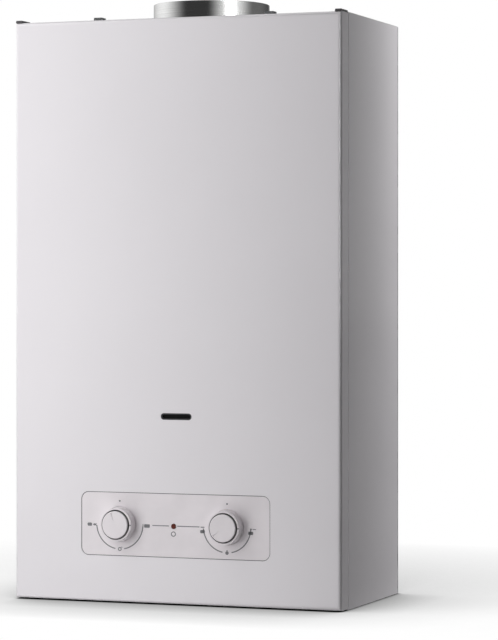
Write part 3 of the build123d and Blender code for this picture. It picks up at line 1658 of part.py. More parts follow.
def knob(x, pointer_angle):
    """A knob: flat face, stepped skirt, hollow behind, with a hub for the spindle."""
    centre_plane = Plane(origin=(x, front_y, knob_z), x_dir=(1, 0, 0), z_dir=(0, 0, -1))
    with BuildPart() as piece:
        with BuildSketch(centre_plane):
            with BuildLine():
                Polyline(
                    (0, knob_reach),
                    (knob_face_radius, knob_reach),
                    (knob_face_radius, knob_skirt_height),
                    (knob_skirt_radius, knob_skirt_height),
                    (knob_base_radius, -knob_base_depth),
                    (knob_base_radius - knob_wall, -knob_base_depth),
                    (knob_base_radius - knob_wall, knob_skirt_height - knob_wall),
                    (knob_hub_radius, knob_skirt_height - knob_wall),
                    (knob_hub_radius, -knob_base_depth),
                    (spindle_radius + running_gap / 2, -knob_base_depth),
                    (spindle_radius + running_gap / 2, knob_bore_depth),
                    (0, knob_bore_depth),
                    close=True,
                )
            make_face()
        revolve(axis=Axis((x, 0, knob_z), (0, 1, 0)))
        face_rim = piece.faces().sort_by(Axis.Y)[0].edges()
        fillet(face_rim, radius=knob_face_edge)
        skirt_rim = piece.edges().filter_by(GeomType.CIRCLE).filter_by(
            lambda edge: abs(edge.radius - knob_skirt_radius) < joint_gap
        )
        fillet(skirt_rim, radius=knob_skirt_edge)
        with BuildSketch(facing_front(front_y - knob_reach)):
            with Locations((x, knob_z)):
                pointer_middle = (pointer_inner_radius + pointer_outer_radius) / 2
                with PolarLocations(pointer_middle, 1, start_angle=90 + pointer_angle):
                    SlotOverall(pointer_outer_radius - pointer_inner_radius, pointer_width)
        extrude(amount=-pointer_depth, mode=Mode.SUBTRACT)
    return piece.part


gas_knob = knob(gas_knob_x, gas_pointer_angle)
temperature_knob = knob(temperature_knob_x, temperature_pointer_angle)

pieces = {
    "front_cover": front_cover.part,
    "cover_hooks": cover_hooks.part,
    "cover_clips": cover_clips.part,
    "corner_caps": corner_caps.part,
    "bottom_rail": bottom_rail.part,
    "side_panel_left": side_panel_left,
    "side_panel_right": side_panel_right,
    "top_panel": top_panel.part,
    "back_plate": back_plate.part,
    "base_tray": base_tray.part,
    "chassis_screws": chassis_screws.part,
    "control_fascia": control_fascia.part,
    "gas_knob": gas_knob,
    "temperature_knob": temperature_knob,
    "gas_spindle": gas_spindle.part,
    "temperature_spindle": temperature_spindle.part,
    "lamp_lens": lamp_lens.part,
    "lamp": lamp.part,
    "window_bezel": window_bezel.part,
    "window_pane": window_pane.part,
    "flue_collar": flue_collar.part,
    "draught_hood": draught_hood.part,
    "hood_baffle": hood_baffle.part,
    "limit_switches": limit_switches.part,
    "fin_block": fin_block.part,
    "exchanger_tubes": exchanger_tubes.part,
    "combustion_chamber": combustion_chamber.part,
    "chamber_coil": chamber_coil.part,
    "chamber_bracket": chamber_bracket.part,
    "burner_frame": burner_frame.part,
    "burner_blades": burner_blades.part,
    "gas_manifold": gas_manifold.part,
    "injectors": injectors.part,
    "electrode_insulators": electrode_insulators.part,
    "electrode_rods": electrode_rods.part,
    "gas_valve_body": gas_valve_body.part,
    "gas_poppet": gas_poppet.part,
    "poppet_spring": poppet_spring.part,
    "solenoid": solenoid.part,
    "solenoid_plunger": solenoid_plunger.part,
    "switch_bracket": switch_bracket.part,
    "microswitch": microswitch.part,
    "microswitch_lever": microswitch_lever.part,
    "push_rod": push_rod.part,
    "water_valve_cover": water_valve_cover.part,
    "diaphragm": diaphragm.part,
    "water_valve_body": water_valve_body.part,
    "valve_screws": valve_screws.part,
    "flow_needle": flow_needle.part,
    "drain_plug": drain_plug.part,
    "inlet_filter": inlet_filter.part,
    "pipe_fittings": pipe_fittings.part,
    "backnuts": backnuts.part,
    "hot_water_pipe": hot_water_pipe.part,
    "cold_feed_pipe": cold_feed_pipe.part,
    "ignition_box": ignition_box.part,
    "battery_box": battery_box.part,
    "battery_door": battery_door.part,
    "batteries": batteries.part,
    "leads": leads.part,
}

for name, piece in pieces.items():
    piece.label = name
    export_step(piece, f"parts/{name}.step")
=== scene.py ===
import json
import math

import bmesh
import bpy
import numpy as np
from bpy.props import FloatProperty, FloatVectorProperty, PointerProperty
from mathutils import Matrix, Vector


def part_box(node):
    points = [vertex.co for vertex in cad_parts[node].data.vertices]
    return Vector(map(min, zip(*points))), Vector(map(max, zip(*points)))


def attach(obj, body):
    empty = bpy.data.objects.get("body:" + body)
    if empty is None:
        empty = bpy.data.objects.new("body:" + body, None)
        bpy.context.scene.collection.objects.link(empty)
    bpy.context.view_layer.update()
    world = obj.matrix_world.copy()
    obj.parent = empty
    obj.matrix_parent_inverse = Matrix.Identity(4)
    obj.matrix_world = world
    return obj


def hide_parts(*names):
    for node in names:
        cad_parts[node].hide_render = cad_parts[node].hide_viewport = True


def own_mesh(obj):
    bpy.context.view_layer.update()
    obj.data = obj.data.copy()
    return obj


bl_info = {
    "name": "Gas water heater",
    "version": (1, 0, 0),
    "blender": (4, 5, 0),
    "location": "View3D > Sidebar > Heater",
    "description": "Finishes a gas water heater on its packed frame and sets its studio",
    "category": "Add Mesh",
}

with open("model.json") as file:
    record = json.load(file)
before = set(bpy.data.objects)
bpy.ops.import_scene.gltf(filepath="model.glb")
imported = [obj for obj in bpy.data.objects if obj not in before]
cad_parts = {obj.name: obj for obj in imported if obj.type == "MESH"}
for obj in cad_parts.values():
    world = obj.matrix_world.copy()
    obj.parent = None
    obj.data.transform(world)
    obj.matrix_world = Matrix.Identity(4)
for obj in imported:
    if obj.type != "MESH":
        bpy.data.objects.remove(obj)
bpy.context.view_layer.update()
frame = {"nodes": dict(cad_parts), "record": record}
MM = 0.001

# Places taken from the frame
FRONT_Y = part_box("front_cover")[0].y
FACE_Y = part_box("control_fascia")[0].y
KNOB_FACE_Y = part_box("gas_knob")[0].y
KNOB_BASE_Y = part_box("gas_knob")[1].y
COLLAR_LOW, COLLAR_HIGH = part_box("flue_collar")


def middle(node):
    """Middle of a CAD node's box."""
    low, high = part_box(node)
    return np.array((low + high) / 2)


# Meshes


def show(name, points, faces, body, slot, sharp, merge):
    """Makes a mesh object in the row frame, rides it on a body and gives it a slot's finish."""
    mesh = bpy.data.meshes.new(name)
    mesh.from_pydata(np.asarray(points, float).reshape(-1, 3).tolist(), [], [tuple(f) for f in faces])
    work = bmesh.new()
    work.from_mesh(mesh)
    bmesh.ops.remove_doubles(work, verts=work.verts, dist=merge)
    bmesh.ops.dissolve_degenerate(work, edges=work.edges, dist=merge / 10)
    bmesh.ops.recalc_face_normals(work, faces=work.faces)
    work.to_mesh(mesh)
    work.free()
    mesh.shade_smooth()
    mesh.set_sharp_from_angle(angle=math.radians(sharp))
    piece = bpy.data.objects.new(name, mesh)
    bpy.context.scene.collection.objects.link(piece)
    mesh.materials.append(finish(slot))
    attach(piece, body)
    return piece


def grid_faces(rows, columns, start=0):
    """Quads (i, j), (i+1, j), (i+1, j+1), (i, j+1) of closed rows of points, numbered row by row."""
    index = np.arange(rows * columns).reshape(rows, columns) + start
    index = np.hstack((index, index[:, :1]))
    corners = (index[:-1, :-1], index[1:, :-1], index[1:, 1:], index[:-1, 1:])
    return np.stack(corners, -1).reshape(-1, 4)


def turned(name, profile, centre, axis, body, slot, steps, shape=None):
    """Turns a profile of (radius, height) rows about an axis through centre.

    The point at row i and angle t is c + r_i (u cos t + v sin t) + h_i w, where w is the axis;
    shape(r, t) is added to the height where it is given.
    """
    w = np.asarray(axis, float)
    u = np.array((1.0, 0, 0)) if abs(w[0]) < 0.5 else np.array((0, 0, 1.0))
    v = np.cross(w, u)
    r, h = np.asarray(profile, float).T[:, :, None]
    t = np.linspace(0, 2 * math.pi, steps, endpoint=False)[None]
    r, h = r + 0 * t, h + 0 * t
    if shape:
        h = h + shape(r, t)
    points = np.asarray(centre) + r[..., None] * (u * np.cos(t)[..., None] + v * np.sin(t)[..., None])
    points = points + h[..., None] * w
    faces = grid_faces(*r.shape)
    return show(name, points, faces, body, slot, sharp=35.0, merge=1e-7)


def plates(name, outlines, y_front, y_rear, body, slot):
    """Flat shapes facing the front: each outline of (x, z) points is a prism from y_front to y_rear."""
    points, faces, start = [], [], 0
    for outline in outlines:
        flat = np.asarray(outline, float)
        count = len(flat)
        for y in (y_front, y_rear):
            points.append(np.stack((flat[:, 0], np.full(count, y), flat[:, 1]), -1))
        ends = np.arange(count) + start
        faces += [ends.tolist(), (ends[::-1] + count).tolist()]
        faces += grid_faces(2, count, start).tolist()
        start += 2 * count
    return show(name, np.vstack(points), faces, body, slot, sharp=30.0, merge=1e-8)


def arc(x, z, radius, start, end, count):
    """Points on an arc, from one angle to the other in degrees."""
    t = np.radians(np.linspace(start, end, count))
    return np.stack((x + radius * np.cos(t), z + radius * np.sin(t)), -1)


def bar(x, z, width, height, corner):
    """A rounded bar, with a quarter arc at each corner."""
    turns = ((1, 1, 0), (-1, 1, 90), (-1, -1, 180), (1, -1, 270))
    return np.vstack([
        arc(x + sx * (width / 2 - corner), z + sz * (height / 2 - corner), corner, turn, turn + 90, 9)
        for sx, sz, turn in turns
    ])


def skin(node, body, slot, sharp=30.0):
    """A merged and smoothly shaded copy of a CAD node, shown in its place."""
    mesh = frame["nodes"][node].data.copy()
    mesh.name = node + "_skin"
    work = bmesh.new()
    work.from_mesh(mesh)
    bmesh.ops.remove_doubles(work, verts=work.verts, dist=1e-6)
    work.to_mesh(mesh)
    work.free()
    if "custom_normal" in mesh.attributes:
        mesh.attributes.remove(mesh.attributes["custom_normal"])
    mesh.shade_smooth()
    mesh.set_sharp_from_angle(angle=math.radians(sharp))
    mesh.materials.clear()
    mesh.materials.append(finish(slot))
    piece = bpy.data.objects.new(node + "_skin", mesh)
    bpy.context.scene.collection.objects.link(piece)
    weighted = piece.modifiers.new("weighted normals", "WEIGHTED_NORMAL")
    weighted.keep_sharp = True
    weighted.weight = 80
    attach(piece, body)
    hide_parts(node)
    return piece


# Materials


class Wire:
    """One socket of a node tree. Its operators add Math nodes, and plain numbers stay on the sockets."""

    def __init__(self, tree, socket=None):
        self.tree = tree
        self.socket = socket

    def make(self, kind, settings, inputs, output=0):
        """Adds a node, makes its settings, then fills its inputs, and returns one of its outputs."""
        node = self.tree.nodes.new(kind)
        for name, value in settings.items():
            setattr(node, name, value)
        for name, value in inputs.items():
            socket = self.pick(node.inputs, name)
            if isinstance(value, Wire):
                self.tree.links.new(value.socket, socket)
            else:
                socket.default_value = value
        return Wire(self.tree, self.pick(node.outputs, output))

    @staticmethod
    def pick(sockets, name):
        """The socket in use that has a number or a name."""
        if isinstance(name, int):
            return sockets[name]
        return next(s for s in sockets if s.enabled and s.name == name)

    def maths(self, operation, first, second=0.0):
        return self.make("ShaderNodeMath", {"operation": operation}, {0: first, 1: second})

    def vector(self, operation, first, second):
        return self.make("ShaderNodeVectorMath", {"operation": operation}, {0: first, 1: second})

    def __add__(self, other):
        return self.maths("ADD", self, other)

    def __sub__(self, other):
        return self.maths("SUBTRACT", self, other)

    def __rsub__(self, other):
        return self.maths("SUBTRACT", other, self)

    def __mul__(self, other):
        return self.maths("MULTIPLY", self, other)

    __radd__ = __add__

    def steps(self, low, high, start=0.0, end=1.0):
        """A smooth step from start to end as this value goes from low to high."""
        return self.make(
            "ShaderNodeMapRange",
            {"interpolation_type": "SMOOTHSTEP"},
            {"Value": self, "From Min": low, "From Max": high, "To Min": start, "To Max": end},
        )

    def blend(self, first, second):
        """Mixes two colours by this value."""
        inputs = {"Factor": self, "A": first, "B": second}
        return self.make("ShaderNodeMix", {"data_type": "RGBA"}, inputs, "Result")

    def parts(self):
        """The X, Y and Z of a vector."""
        x = self.make("ShaderNodeSeparateXYZ", {}, {0: self}, "X")
        return x, x.beside("Y"), x.beside("Z")

    def beside(self, output):
        """Another output of this socket's node."""
        return Wire(self.tree, self.socket.node.outputs[output])

    def stretched(self, x, y, z):
        """Coordinates scaled along each axis."""
        return self.vector("MULTIPLY", self, (x, y, z))

    def noise(self, scale, detail=2.0, rough=0.5, twist=0.0):
        return self.make(
            "ShaderNodeTexNoise",
            {},
            {"Vector": self, "Scale": scale, "Detail": detail, "Roughness": rough, "Distortion": twist},
        )

    def cells(self, scale, output="Distance"):
        return self.make("ShaderNodeTexVoronoi", {"feature": "F1"}, {"Vector": self, "Scale": scale}, output)

    def bump(self, distance, strength):
        """Normals bent by this value as a height."""
        inputs = {"Height": self, "Distance": distance, "Strength": strength}
        return self.make("ShaderNodeBump", {}, inputs, "Normal")


def rgba(colour, level=1.0):
    """A colour at a level, with full alpha."""
    return (*(min(1.0, c * level) for c in colour), 1.0)


def enamelled(at, colour):
    """Stove enamel: a faint orange peel, with clouds of slightly different gloss."""
    clouds = at.noise(6.0, 3.0)
    peel = at.noise(520.0, 2.0, 0.45)
    tint = clouds.steps(0.3, 0.7).blend(rgba(colour, 0.985), rgba(colour, 1.005))
    rough = clouds.steps(0.25, 0.75, 0.34, 0.42) + peel * 0.03
    return {"Base Color": tint, "Roughness": rough, "Normal": peel.bump(0.00006, 0.35)}


def moulded(at, colour, rough=0.42, grain=0.00003, scale=1500.0):
    """Moulded plastic: a fine even grain and a little wear of the gloss."""
    texture = at.noise(scale, 3.0, 0.6)
    patches = at.noise(35.0, 3.0)
    tint = patches.steps(0.3, 0.7).blend(rgba(colour, 0.97), rgba(colour, 1.03))
    return {
        "Base Color": tint,
        "Roughness": patches.steps(0.2, 0.8, rough - 0.05, rough + 0.07) + texture * 0.05,
        "Normal": texture.bump(grain, 0.5),
    }


IN_SHADE = 0.06  # share of a colour left where shade is painted in a narrow groove


def fascia_groove_shade(at, colour):
    """Moulded plastic with painted shade: its edge is grey where it lies behind its face, in the groove
    round the fascia.
    """
    look = moulded(at, colour)
    depth = at.parts()[1] - FACE_Y
    # painted shade on the groove's floor, from 0.08 to 0.7 mm behind the face
    behind = depth.steps(0.08 * MM, 0.16 * MM) * depth.steps(0.6 * MM, 0.7 * MM, 1.0, 0.0)
    look["Base Color"] = behind.blend(look["Base Color"], rgba(colour, IN_SHADE))
    return look


def knob_groove_shade(at, colour, centre, radii, front):
    """Moulded plastic with painted shade: a ring between two radii about a centre, behind a front plane, is
    darkened as the shade of a narrow groove.
    """
    look = moulded(at, colour)
    x, depth, z = at.parts()
    across, up = x - centre[0], z - centre[2]
    radius = across.maths("SQRT", across * across + up * up)
    inner, outer = radii
    band = radius.steps(inner, inner + 0.1 * MM) * radius.steps(outer, outer + 0.1 * MM, 1.0, 0.0)
    # painted shade in the narrow groove ring round the knob's face
    painted_ring_shade = band * depth.steps(front, front + 0.3 * MM)
    look["Base Color"] = painted_ring_shade.blend(look["Base Color"], rgba(colour, IN_SHADE))
    return look


def brushed(at, colour, rough=0.09, along=(9.0, 9.0, 1500.0), depth=0.000006):
    """Drawn metal: fine streaks that run across one stretched axis, and broad clouds of handling."""
    streaks = at.stretched(*along).noise(1.0, 5.0, 0.65)
    broad = at.stretched(along[0] / 2, along[1] / 2, along[2] / 14).noise(1.0, 2.0)
    clouds = at.noise(22.0, 3.0)
    tint = streaks.steps(0.2, 0.8).blend(rgba(colour, 0.9), rgba(colour, 1.08))
    return {
        "Base Color": tint,
        "Roughness": clouds.steps(0.2, 0.8, rough - 0.04, rough + 0.08) + broad * 0.08,
        "Metallic": 1.0,
        "Normal": (streaks + broad * 0.6).bump(depth, 0.6),
    }


def spangled(at, colour, scale=95.0, rough=0.4):
    """Galvanised sheet: crystals of zinc, each with its own brightness, under a dull film."""
    crystals = at.cells(scale, "Color")
    shade = at.vector("DOT_PRODUCT", crystals, (0.33, 0.33, 0.33)).beside("Value")
    film = at.noise(18.0, 4.0)
    grain = at.noise(900.0, 2.0)
    tint = (shade * 0.75 + film * 0.25).steps(0.1, 0.9).blend(rgba(colour, 0.72), rgba(colour, 1.16))
    return {
        "Base Color": tint,
        "Roughness": (shade * 0.6 + film * 0.4).steps(0.1, 0.9, rough + 0.12, rough - 0.06),
        "Metallic": 1.0,
        "Normal": grain.bump(0.00002, 0.5),
    }


def coppered(at, colour, rough=0.3):
    """Copper that has been drawn and warmed: brown and rosy clouds with fine scratches."""
    clouds = at.noise(28.0, 5.0, 0.6, 0.4)
    spots = at.noise(240.0, 3.0)
    dull = tuple(c * f for c, f in zip(colour, (0.62, 0.52, 0.48)))
    tint = (clouds * 0.8 + spots * 0.2).steps(0.35, 0.65).blend(rgba(colour, 1.06), rgba(dull))
    return {
        "Base Color": tint,
        "Roughness": clouds.steps(0.3, 0.7, rough - 0.05, rough + 0.18),
        "Metallic": 1.0,
        "Normal": spots.bump(0.00003, 0.4),
    }


def machined(at, colour, rough=0.25):
    """Machined brass: tool marks across every axis and a light tarnish."""
    marks = at.stretched(220.0, 2600.0, 2600.0).noise(1.0, 2.0)
    tarnish = at.noise(45.0, 4.0)
    tint = tarnish.steps(0.35, 0.75).blend(rgba(colour, 1.05), rgba(colour, 0.72))
    return {
        "Base Color": tint,
        "Roughness": tarnish.steps(0.3, 0.8, rough, rough + 0.2) + marks * 0.06,
        "Metallic": 1.0,
        "Normal": marks.bump(0.000015, 0.4),
    }


def cast(at, colour, rough=0.5):
    """Die cast metal: a fine sandy skin with flow marks."""
    sand = at.noise(1100.0, 3.0, 0.6)
    flow = at.noise(60.0, 3.0, 0.5, 1.2)
    tint = (flow * 0.7 + sand * 0.3).steps(0.3, 0.7).blend(rgba(colour, 0.82), rgba(colour, 1.06))
    return {
        "Base Color": tint,
        "Roughness": flow.steps(0.2, 0.8, rough - 0.08, rough + 0.1),
        "Metallic": 1.0,
        "Normal": (sand + flow * 0.5).bump(0.00006, 0.6),
    }


def glazed(at, colour):
    """Glazed ceramic: glossy, with a waviness and a few specks."""
    waves = at.noise(180.0, 2.0)
    specks = at.cells(700.0).steps(0.05, 0.16)
    return {
        "Base Color": specks.blend(rgba(colour, 0.75), rgba(colour)),
        "Roughness": waves.steps(0.3, 0.7, 0.12, 0.2),
        "Normal": waves.bump(0.00008, 0.3),
    }


def clear(at, colour, level=1.0):
    """Glass or a clear moulding: a thin film of dust keeps it from being perfectly clean."""
    dust = at.noise(260.0, 4.0, 0.7)
    return {
        "Base Color": dust.steps(0.4, 0.8).blend(rgba(colour, level), rgba(colour, 0.85 * level)),
        "Roughness": dust.steps(0.45, 0.8, 0.04, 0.18),
    }


def printed(at, colour):
    """Printed ink: slightly uneven and matt."""
    patches = at.noise(900.0, 2.0)
    return {
        "Base Color": patches.steps(0.3, 0.7).blend(rgba(colour, 0.93), rgba(colour, 1.06)),
        "Roughness": patches.steps(0.2, 0.8, 0.45, 0.6),
    }


SLOTS = {
    "white_enamel": (enamelled, {}, {"Coat Weight": 1.0, "Coat Roughness": 0.08}),
    "white_plastic": (moulded, {}, {}),
    "black_plastic": (moulded, {"rough": 0.5, "grain": 0.00005}, {}),
    "lens_plastic": (
        clear, {"level": 0.6}, {"Transmission Weight": 0.35, "IOR": 1.49, "Coat Weight": 0.6}),
    "lamp_glass": (clear, {}, {"Transmission Weight": 0.7, "IOR": 1.5}),
    # the pane's colour is cut to a twentieth: painted shade that stands for the unlit inside seen through
    # the window
    "glass": (clear, {"level": 0.05}, {"Transmission Weight": 0.4, "IOR": 1.5}),
    "bright_steel": (brushed, {}, {}),
    "galvanised_steel": (spangled, {}, {}),
    "aluminised_steel": (spangled, {"scale": 420.0, "rough": 0.5}, {}),
    "spring_steel": (brushed, {"rough": 0.3, "along": (400.0, 400.0, 400.0)}, {}),
    "copper": (coppered, {}, {}),
    "brass": (machined, {}, {}),
    "cast_aluminium": (cast, {}, {}),
    "rubber": (moulded, {"rough": 0.65, "grain": 0.00006}, {}),
    "porcelain": (glazed, {}, {"Coat Weight": 0.3}),
    "nylon": (moulded, {"rough": 0.45}, {}),
    "cell_jacket": (brushed, {"rough": 0.35, "along": (300.0, 900.0, 900.0)}, {}),
    "lead_sleeve": (moulded, {"rough": 0.55, "grain": 0.00004}, {}),
    "valve_ink": (moulded, {"rough": 0.5}, {}),
}
RECORD_COLOURS = {m["slot"]: m["base_color"] for m in frame["record"]["materials"]}


def surface(name, texture, colour, settings, constants):
    """A Principled material whose varying inputs come from a texture on object coordinates."""
    name += "_finish"  # the frame's own materials hold the bare names
    material = bpy.data.materials.get(name)
    if material:
        return material
    material = bpy.data.materials.new(name)
    material.use_nodes = True
    tree = material.node_tree
    principled = tree.nodes["Principled BSDF"]
    at = Wire(tree).make("ShaderNodeTexCoord", {}, {}, "Object")
    for key, value in texture(at, colour, **settings).items():
        if isinstance(value, Wire):
            tree.links.new(value.socket, principled.inputs[key])
        else:
            principled.inputs[key].default_value = value
    for key, value in constants.items():
        principled.inputs[key].default_value = value
    return material


def finish(slot):
    """The material of one of the record's slots."""
    texture, settings, constants = SLOTS[slot]
    colours = bpy.context.scene.heater_colours
    chosen = {"white_enamel": colours.enamel, "white_plastic": colours.plastic}
    return surface(slot, texture, tuple(chosen.get(slot, RECORD_COLOURS[slot])), settings, constants)


def refinish(piece, name, texture, colour, settings, constants):
    """Gives a piece a finish that differs from the one of its slot."""
    piece.data.materials[0] = surface(name, texture, tuple(colour), settings, constants)


# Sizes and colours that a user would change


class HeaterColours(bpy.types.PropertyGroup):
    """Colours of the white and printed surfaces."""

    enamel: FloatVectorProperty(
        name="Enamel", description="Casing", subtype="COLOR", default=(0.86, 0.832, 0.862),
        min=0, max=1)
    plastic: FloatVectorProperty(
        name="Plastic", description="Fascia and knobs", subtype="COLOR", default=(0.82, 0.778, 0.804),
        min=0, max=1)
    caps: FloatVectorProperty(
        name="Caps", description="Corner caps", subtype="COLOR", default=(0.09, 0.085, 0.09),
        min=0, max=1)
    ink: FloatVectorProperty(
        name="Ink", description="Printed marks", subtype="COLOR", default=(0.19, 0.19, 0.20),
        min=0, max=1)


class HeaterSizes(bpy.types.PropertyGroup):
    """Sizes of the fine pieces."""

    pointer_depth: FloatProperty(
        name="Pointer depth", description="Depth of the knobs' pointer groove", unit="LENGTH",
        default=0.001)
    mark_height: FloatProperty(
        name="Mark height", description="Height of the ink over the fascia", unit="LENGTH",
        default=0.00004)
    arc_radius: FloatProperty(
        name="Arc radius", description="Radius of the printed arcs", unit="LENGTH", default=0.0253)
    line_width: FloatProperty(
        name="Line width", description="Width of the printed lines", unit="LENGTH", default=0.0011)


class HeaterLight(bpy.types.PropertyGroup):
    """Levels of the studio."""

    ambient: FloatProperty(
        name="Ambient", description="Level of the plain light all round", default=0.22)
    key: FloatProperty(
        name="Key", description="Power of the lamp at the left", subtype="POWER", default=10.1)
    rear: FloatProperty(
        name="Rear", description="Power of the lamp at the right rear", subtype="POWER", default=0.62)


# Knobs


def rounded(r, h, size, start, end, count=7):
    """Points on a round edge of a turned profile, from one angle to the other in degrees."""
    t = np.radians(np.linspace(start, end, count))
    return np.stack((r + size * np.cos(t), h + size * np.sin(t)), -1)


def knob(node, x, z, turn):
    """A turned knob with a deep ring round its face and a wedge-shaped pointer cut into it."""
    reach = KNOB_BASE_Y - KNOB_FACE_Y
    step = reach - 2.3 * MM  # height of the skirt, whose front lies behind the face
    face_r, skirt_r, base_r, hollow_r = 13.8 * MM, 16.9 * MM, 17.5 * MM, 12.6 * MM
    base, hollow = 1.0 * MM, 7.0 * MM
    gap, floor = 1.2 * MM, step - 3.0 * MM
    face_edge, root, gap_edge, skirt_edge = 0.8 * MM, 0.3 * MM, 0.25 * MM, 0.5 * MM
    flat_r, pointer_r = face_r - 1.1 * MM, face_r - 1.0 * MM
    face_rows = np.linspace(0, flat_r, 40)
    profile = np.vstack((
        np.stack((face_rows, np.full(len(face_rows), reach)), -1),
        rounded(face_r - face_edge, reach - face_edge, face_edge, 88, 0),
        rounded(face_r + root, floor + root, root, 180, 270),
        rounded(face_r + gap - root, floor + root, root, 270, 360),
        rounded(face_r + gap + gap_edge, step - gap_edge, gap_edge, 180, 90),
        rounded(skirt_r - skirt_edge, step - skirt_edge, skirt_edge, 90, 0),
        ((skirt_r, base), (base_r, base), (base_r, 0), (hollow_r, 0), (hollow_r, hollow), (0, hollow)),
    ))
    inner, outer = 4.6 * MM, 12.6 * MM  # where the pointer starts and ends
    deepest = bpy.context.scene.heater_sizes.pointer_depth

    def pointer(r, t):
        """Depth of a wedge: it deepens and widens from its root to the rim."""
        along = r * np.cos(t - turn)
        across = np.abs(r * np.sin(t - turn))
        run = np.clip((along - inner) / (outer - inner), 0, 1)
        half = 0.35 * MM + 0.45 * MM * run
        edge = np.clip((half - across) / (0.3 * MM) + 0.5, 0, 1)
        ends = np.clip((along - inner) / (0.4 * MM), 0, 1) * np.clip((outer - along) / (0.5 * MM), 0, 1)
        on_face = r < pointer_r
        return -deepest * (0.45 + 0.55 * run) * edge * edge * (3 - 2 * edge) * ends * on_face

    centre, ahead = (x, KNOB_BASE_Y, z), (0, -1, 0)
    piece = turned(node + "_turned", profile, centre, ahead, node, "white_plastic", 420, pointer)
    # the knob's groove ring that gets painted shade
    ring = {
        "centre": centre,
        "radii": (face_r - 0.06 * MM, face_r + gap - 0.02 * MM),
        "front": KNOB_FACE_Y + 1.0 * MM,
    }
    refinish(piece, node + "_plastic", knob_groove_shade, bpy.context.scene.heater_colours.plastic, ring, {})
    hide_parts(node)
    dot_at, dot_r, dot_foot, dot_rise = 15.9 * MM, 0.8 * MM, 0.88 * MM, 0.05 * MM
    dot = turned(
        node + "_dot", ((0, dot_rise), (dot_r, dot_rise), (dot_foot, -dot_rise), (0, -dot_rise)),
        (x + dot_at, KNOB_BASE_Y - step, z), ahead, node, "valve_ink", 16)
    inked(dot)


def inked(piece):
    """Gives a piece the ink of the printed marks."""
    refinish(piece, "mark_ink", printed, bpy.context.scene.heater_colours.ink, {}, {})


# Operators


class HEATER_OT_casing(bpy.types.Operator):
    """Casing: cover, sides, top, back, tray and rail"""

    bl_idname = "heater.casing"
    bl_label = "Casing"

    def execute(self, context):
        skin("front_cover", "front_cover", "white_enamel", sharp=40)
        for node in ("side_panel_left", "side_panel_right", "top_panel"):
            panel = skin(node, "chassis", "white_enamel")
            edge = panel.modifiers.new("edges", "BEVEL")
            edge.width, edge.segments, edge.angle_limit = 0.3 * MM, 2, math.radians(50)
            panel.modifiers.move(1, 0)  # the bevel comes before the weighted normals
        for node in ("back_plate", "base_tray", "bottom_rail"):
            skin(node, "chassis", "galvanised_steel")
        skin("cover_hooks", "front_cover", "galvanised_steel")
        skin("cover_clips", "chassis", "nylon")
        colours = context.scene.heater_colours
        caps = skin("corner_caps", "front_cover", "black_plastic")
        refinish(caps, "cap_plastic", moulded, colours.caps, {"rough": 0.3}, {"Coat Weight": 0.5})
        skin("chassis_screws", "chassis", "galvanised_steel")
        return {"FINISHED"}


class HEATER_OT_fascia(bpy.types.Operator):
    """Fascia with its printed marks"""

    bl_idname = "heater.fascia"
    bl_label = "Fascia and marks"

    def execute(self, context):
        sizes, colours = context.scene.heater_sizes, context.scene.heater_colours
        fascia = skin("control_fascia", "front_cover", "white_plastic")
        # the fascia's groove gets painted shade
        refinish(fascia, "fascia_painted_shade", fascia_groove_shade, colours.plastic, {}, {})
        z = middle("control_fascia")[2]
        left, right = middle("gas_knob")[0], middle("temperature_knob")[0]
        half = sizes.line_width / 2

        def along(path):
            """Outline of a line of even width that follows a path."""
            path = np.asarray(path)
            run = np.gradient(path, axis=0)
            run /= np.linalg.norm(run, axis=1)[:, None]
            side = np.stack((-run[:, 1], run[:, 0]), -1) * half
            return np.vstack((path + side, (path - side)[::-1]))

        def band(x, z, outer, inner):
            """A ring as two half rings."""
            return [
                np.vstack((arc(x, z, outer, start, end, 20), arc(x, z, inner, end, start, 20)))
                for start, end in ((0, 180), (180, 360))
            ]

        shapes = []
        for x in (left, right):
            shapes.append(arc(x, z + 23.3 * MM, 0.95 * MM, 0, 345, 24))
            for start, end in ((184, 259), (281, 356)):
                shapes.append(along(arc(x, z, sizes.arc_radius, start, end, 72)))
        low = z - sizes.arc_radius
        shapes += band(left, low, 2.0 * MM, 1.1 * MM)
        shapes.append(bar(left + 2.2 * MM, low + 1.9 * MM, 1.4 * MM, 0.8 * MM, 0.3 * MM))
        shapes.append(arc(right, low - 0.2 * MM, 1.8 * MM, 0, 345, 28))
        shapes.append(bar(right, low + 2.1 * MM, 1.0 * MM, 1.4 * MM, 0.4 * MM))
        # Middle, width, height and corner radius of each bar, in millimetres
        marks = (
            (-92.8, 78.4, 5.0, 3.3, 1.2), (-34.4, 78.35, 0.8, 3.5, 0.3), (-30.0, 78.35, 6.2, 3.5, 0.9),
            (30.0, 78.9, 4.2, 1.0, 0.4), (30.0, 74.5, 5.0, 3.2, 0.9), (81.4, 74.4, 5.2, 3.2, 0.9),
            (81.6, 78.3, 1.8, 1.8, 0.8), (85.2, 78.3, 3.8, 0.8, 0.3), (-15.2, 79.1, 18.0, 0.9, 0.3),
            (14.8, 79.1, 24.0, 0.9, 0.3),
        )
        shapes += [bar(*(v * MM for v in mark)) for mark in marks]
        # Outline of the small pointed mark beside the first bar, in millimetres
        tail = np.array((
            (-89.4, 78.3), (-87.9, 79.4), (-86.3, 79.1), (-85.2, 80.0), (-85.7, 78.3), (-85.2, 76.8),
            (-86.3, 77.4), (-87.9, 77.2),
        )) * MM
        shapes.append(tail[::-1])
        shapes += band(-1.3 * MM, 71.1 * MM, 2.65 * MM, 1.75 * MM)
        front, rear = FACE_Y - sizes.mark_height, FACE_Y + 0.05 * MM
        inked(plates("printed_marks", shapes, front, rear, "front_cover", "valve_ink"))
        return {"FINISHED"}


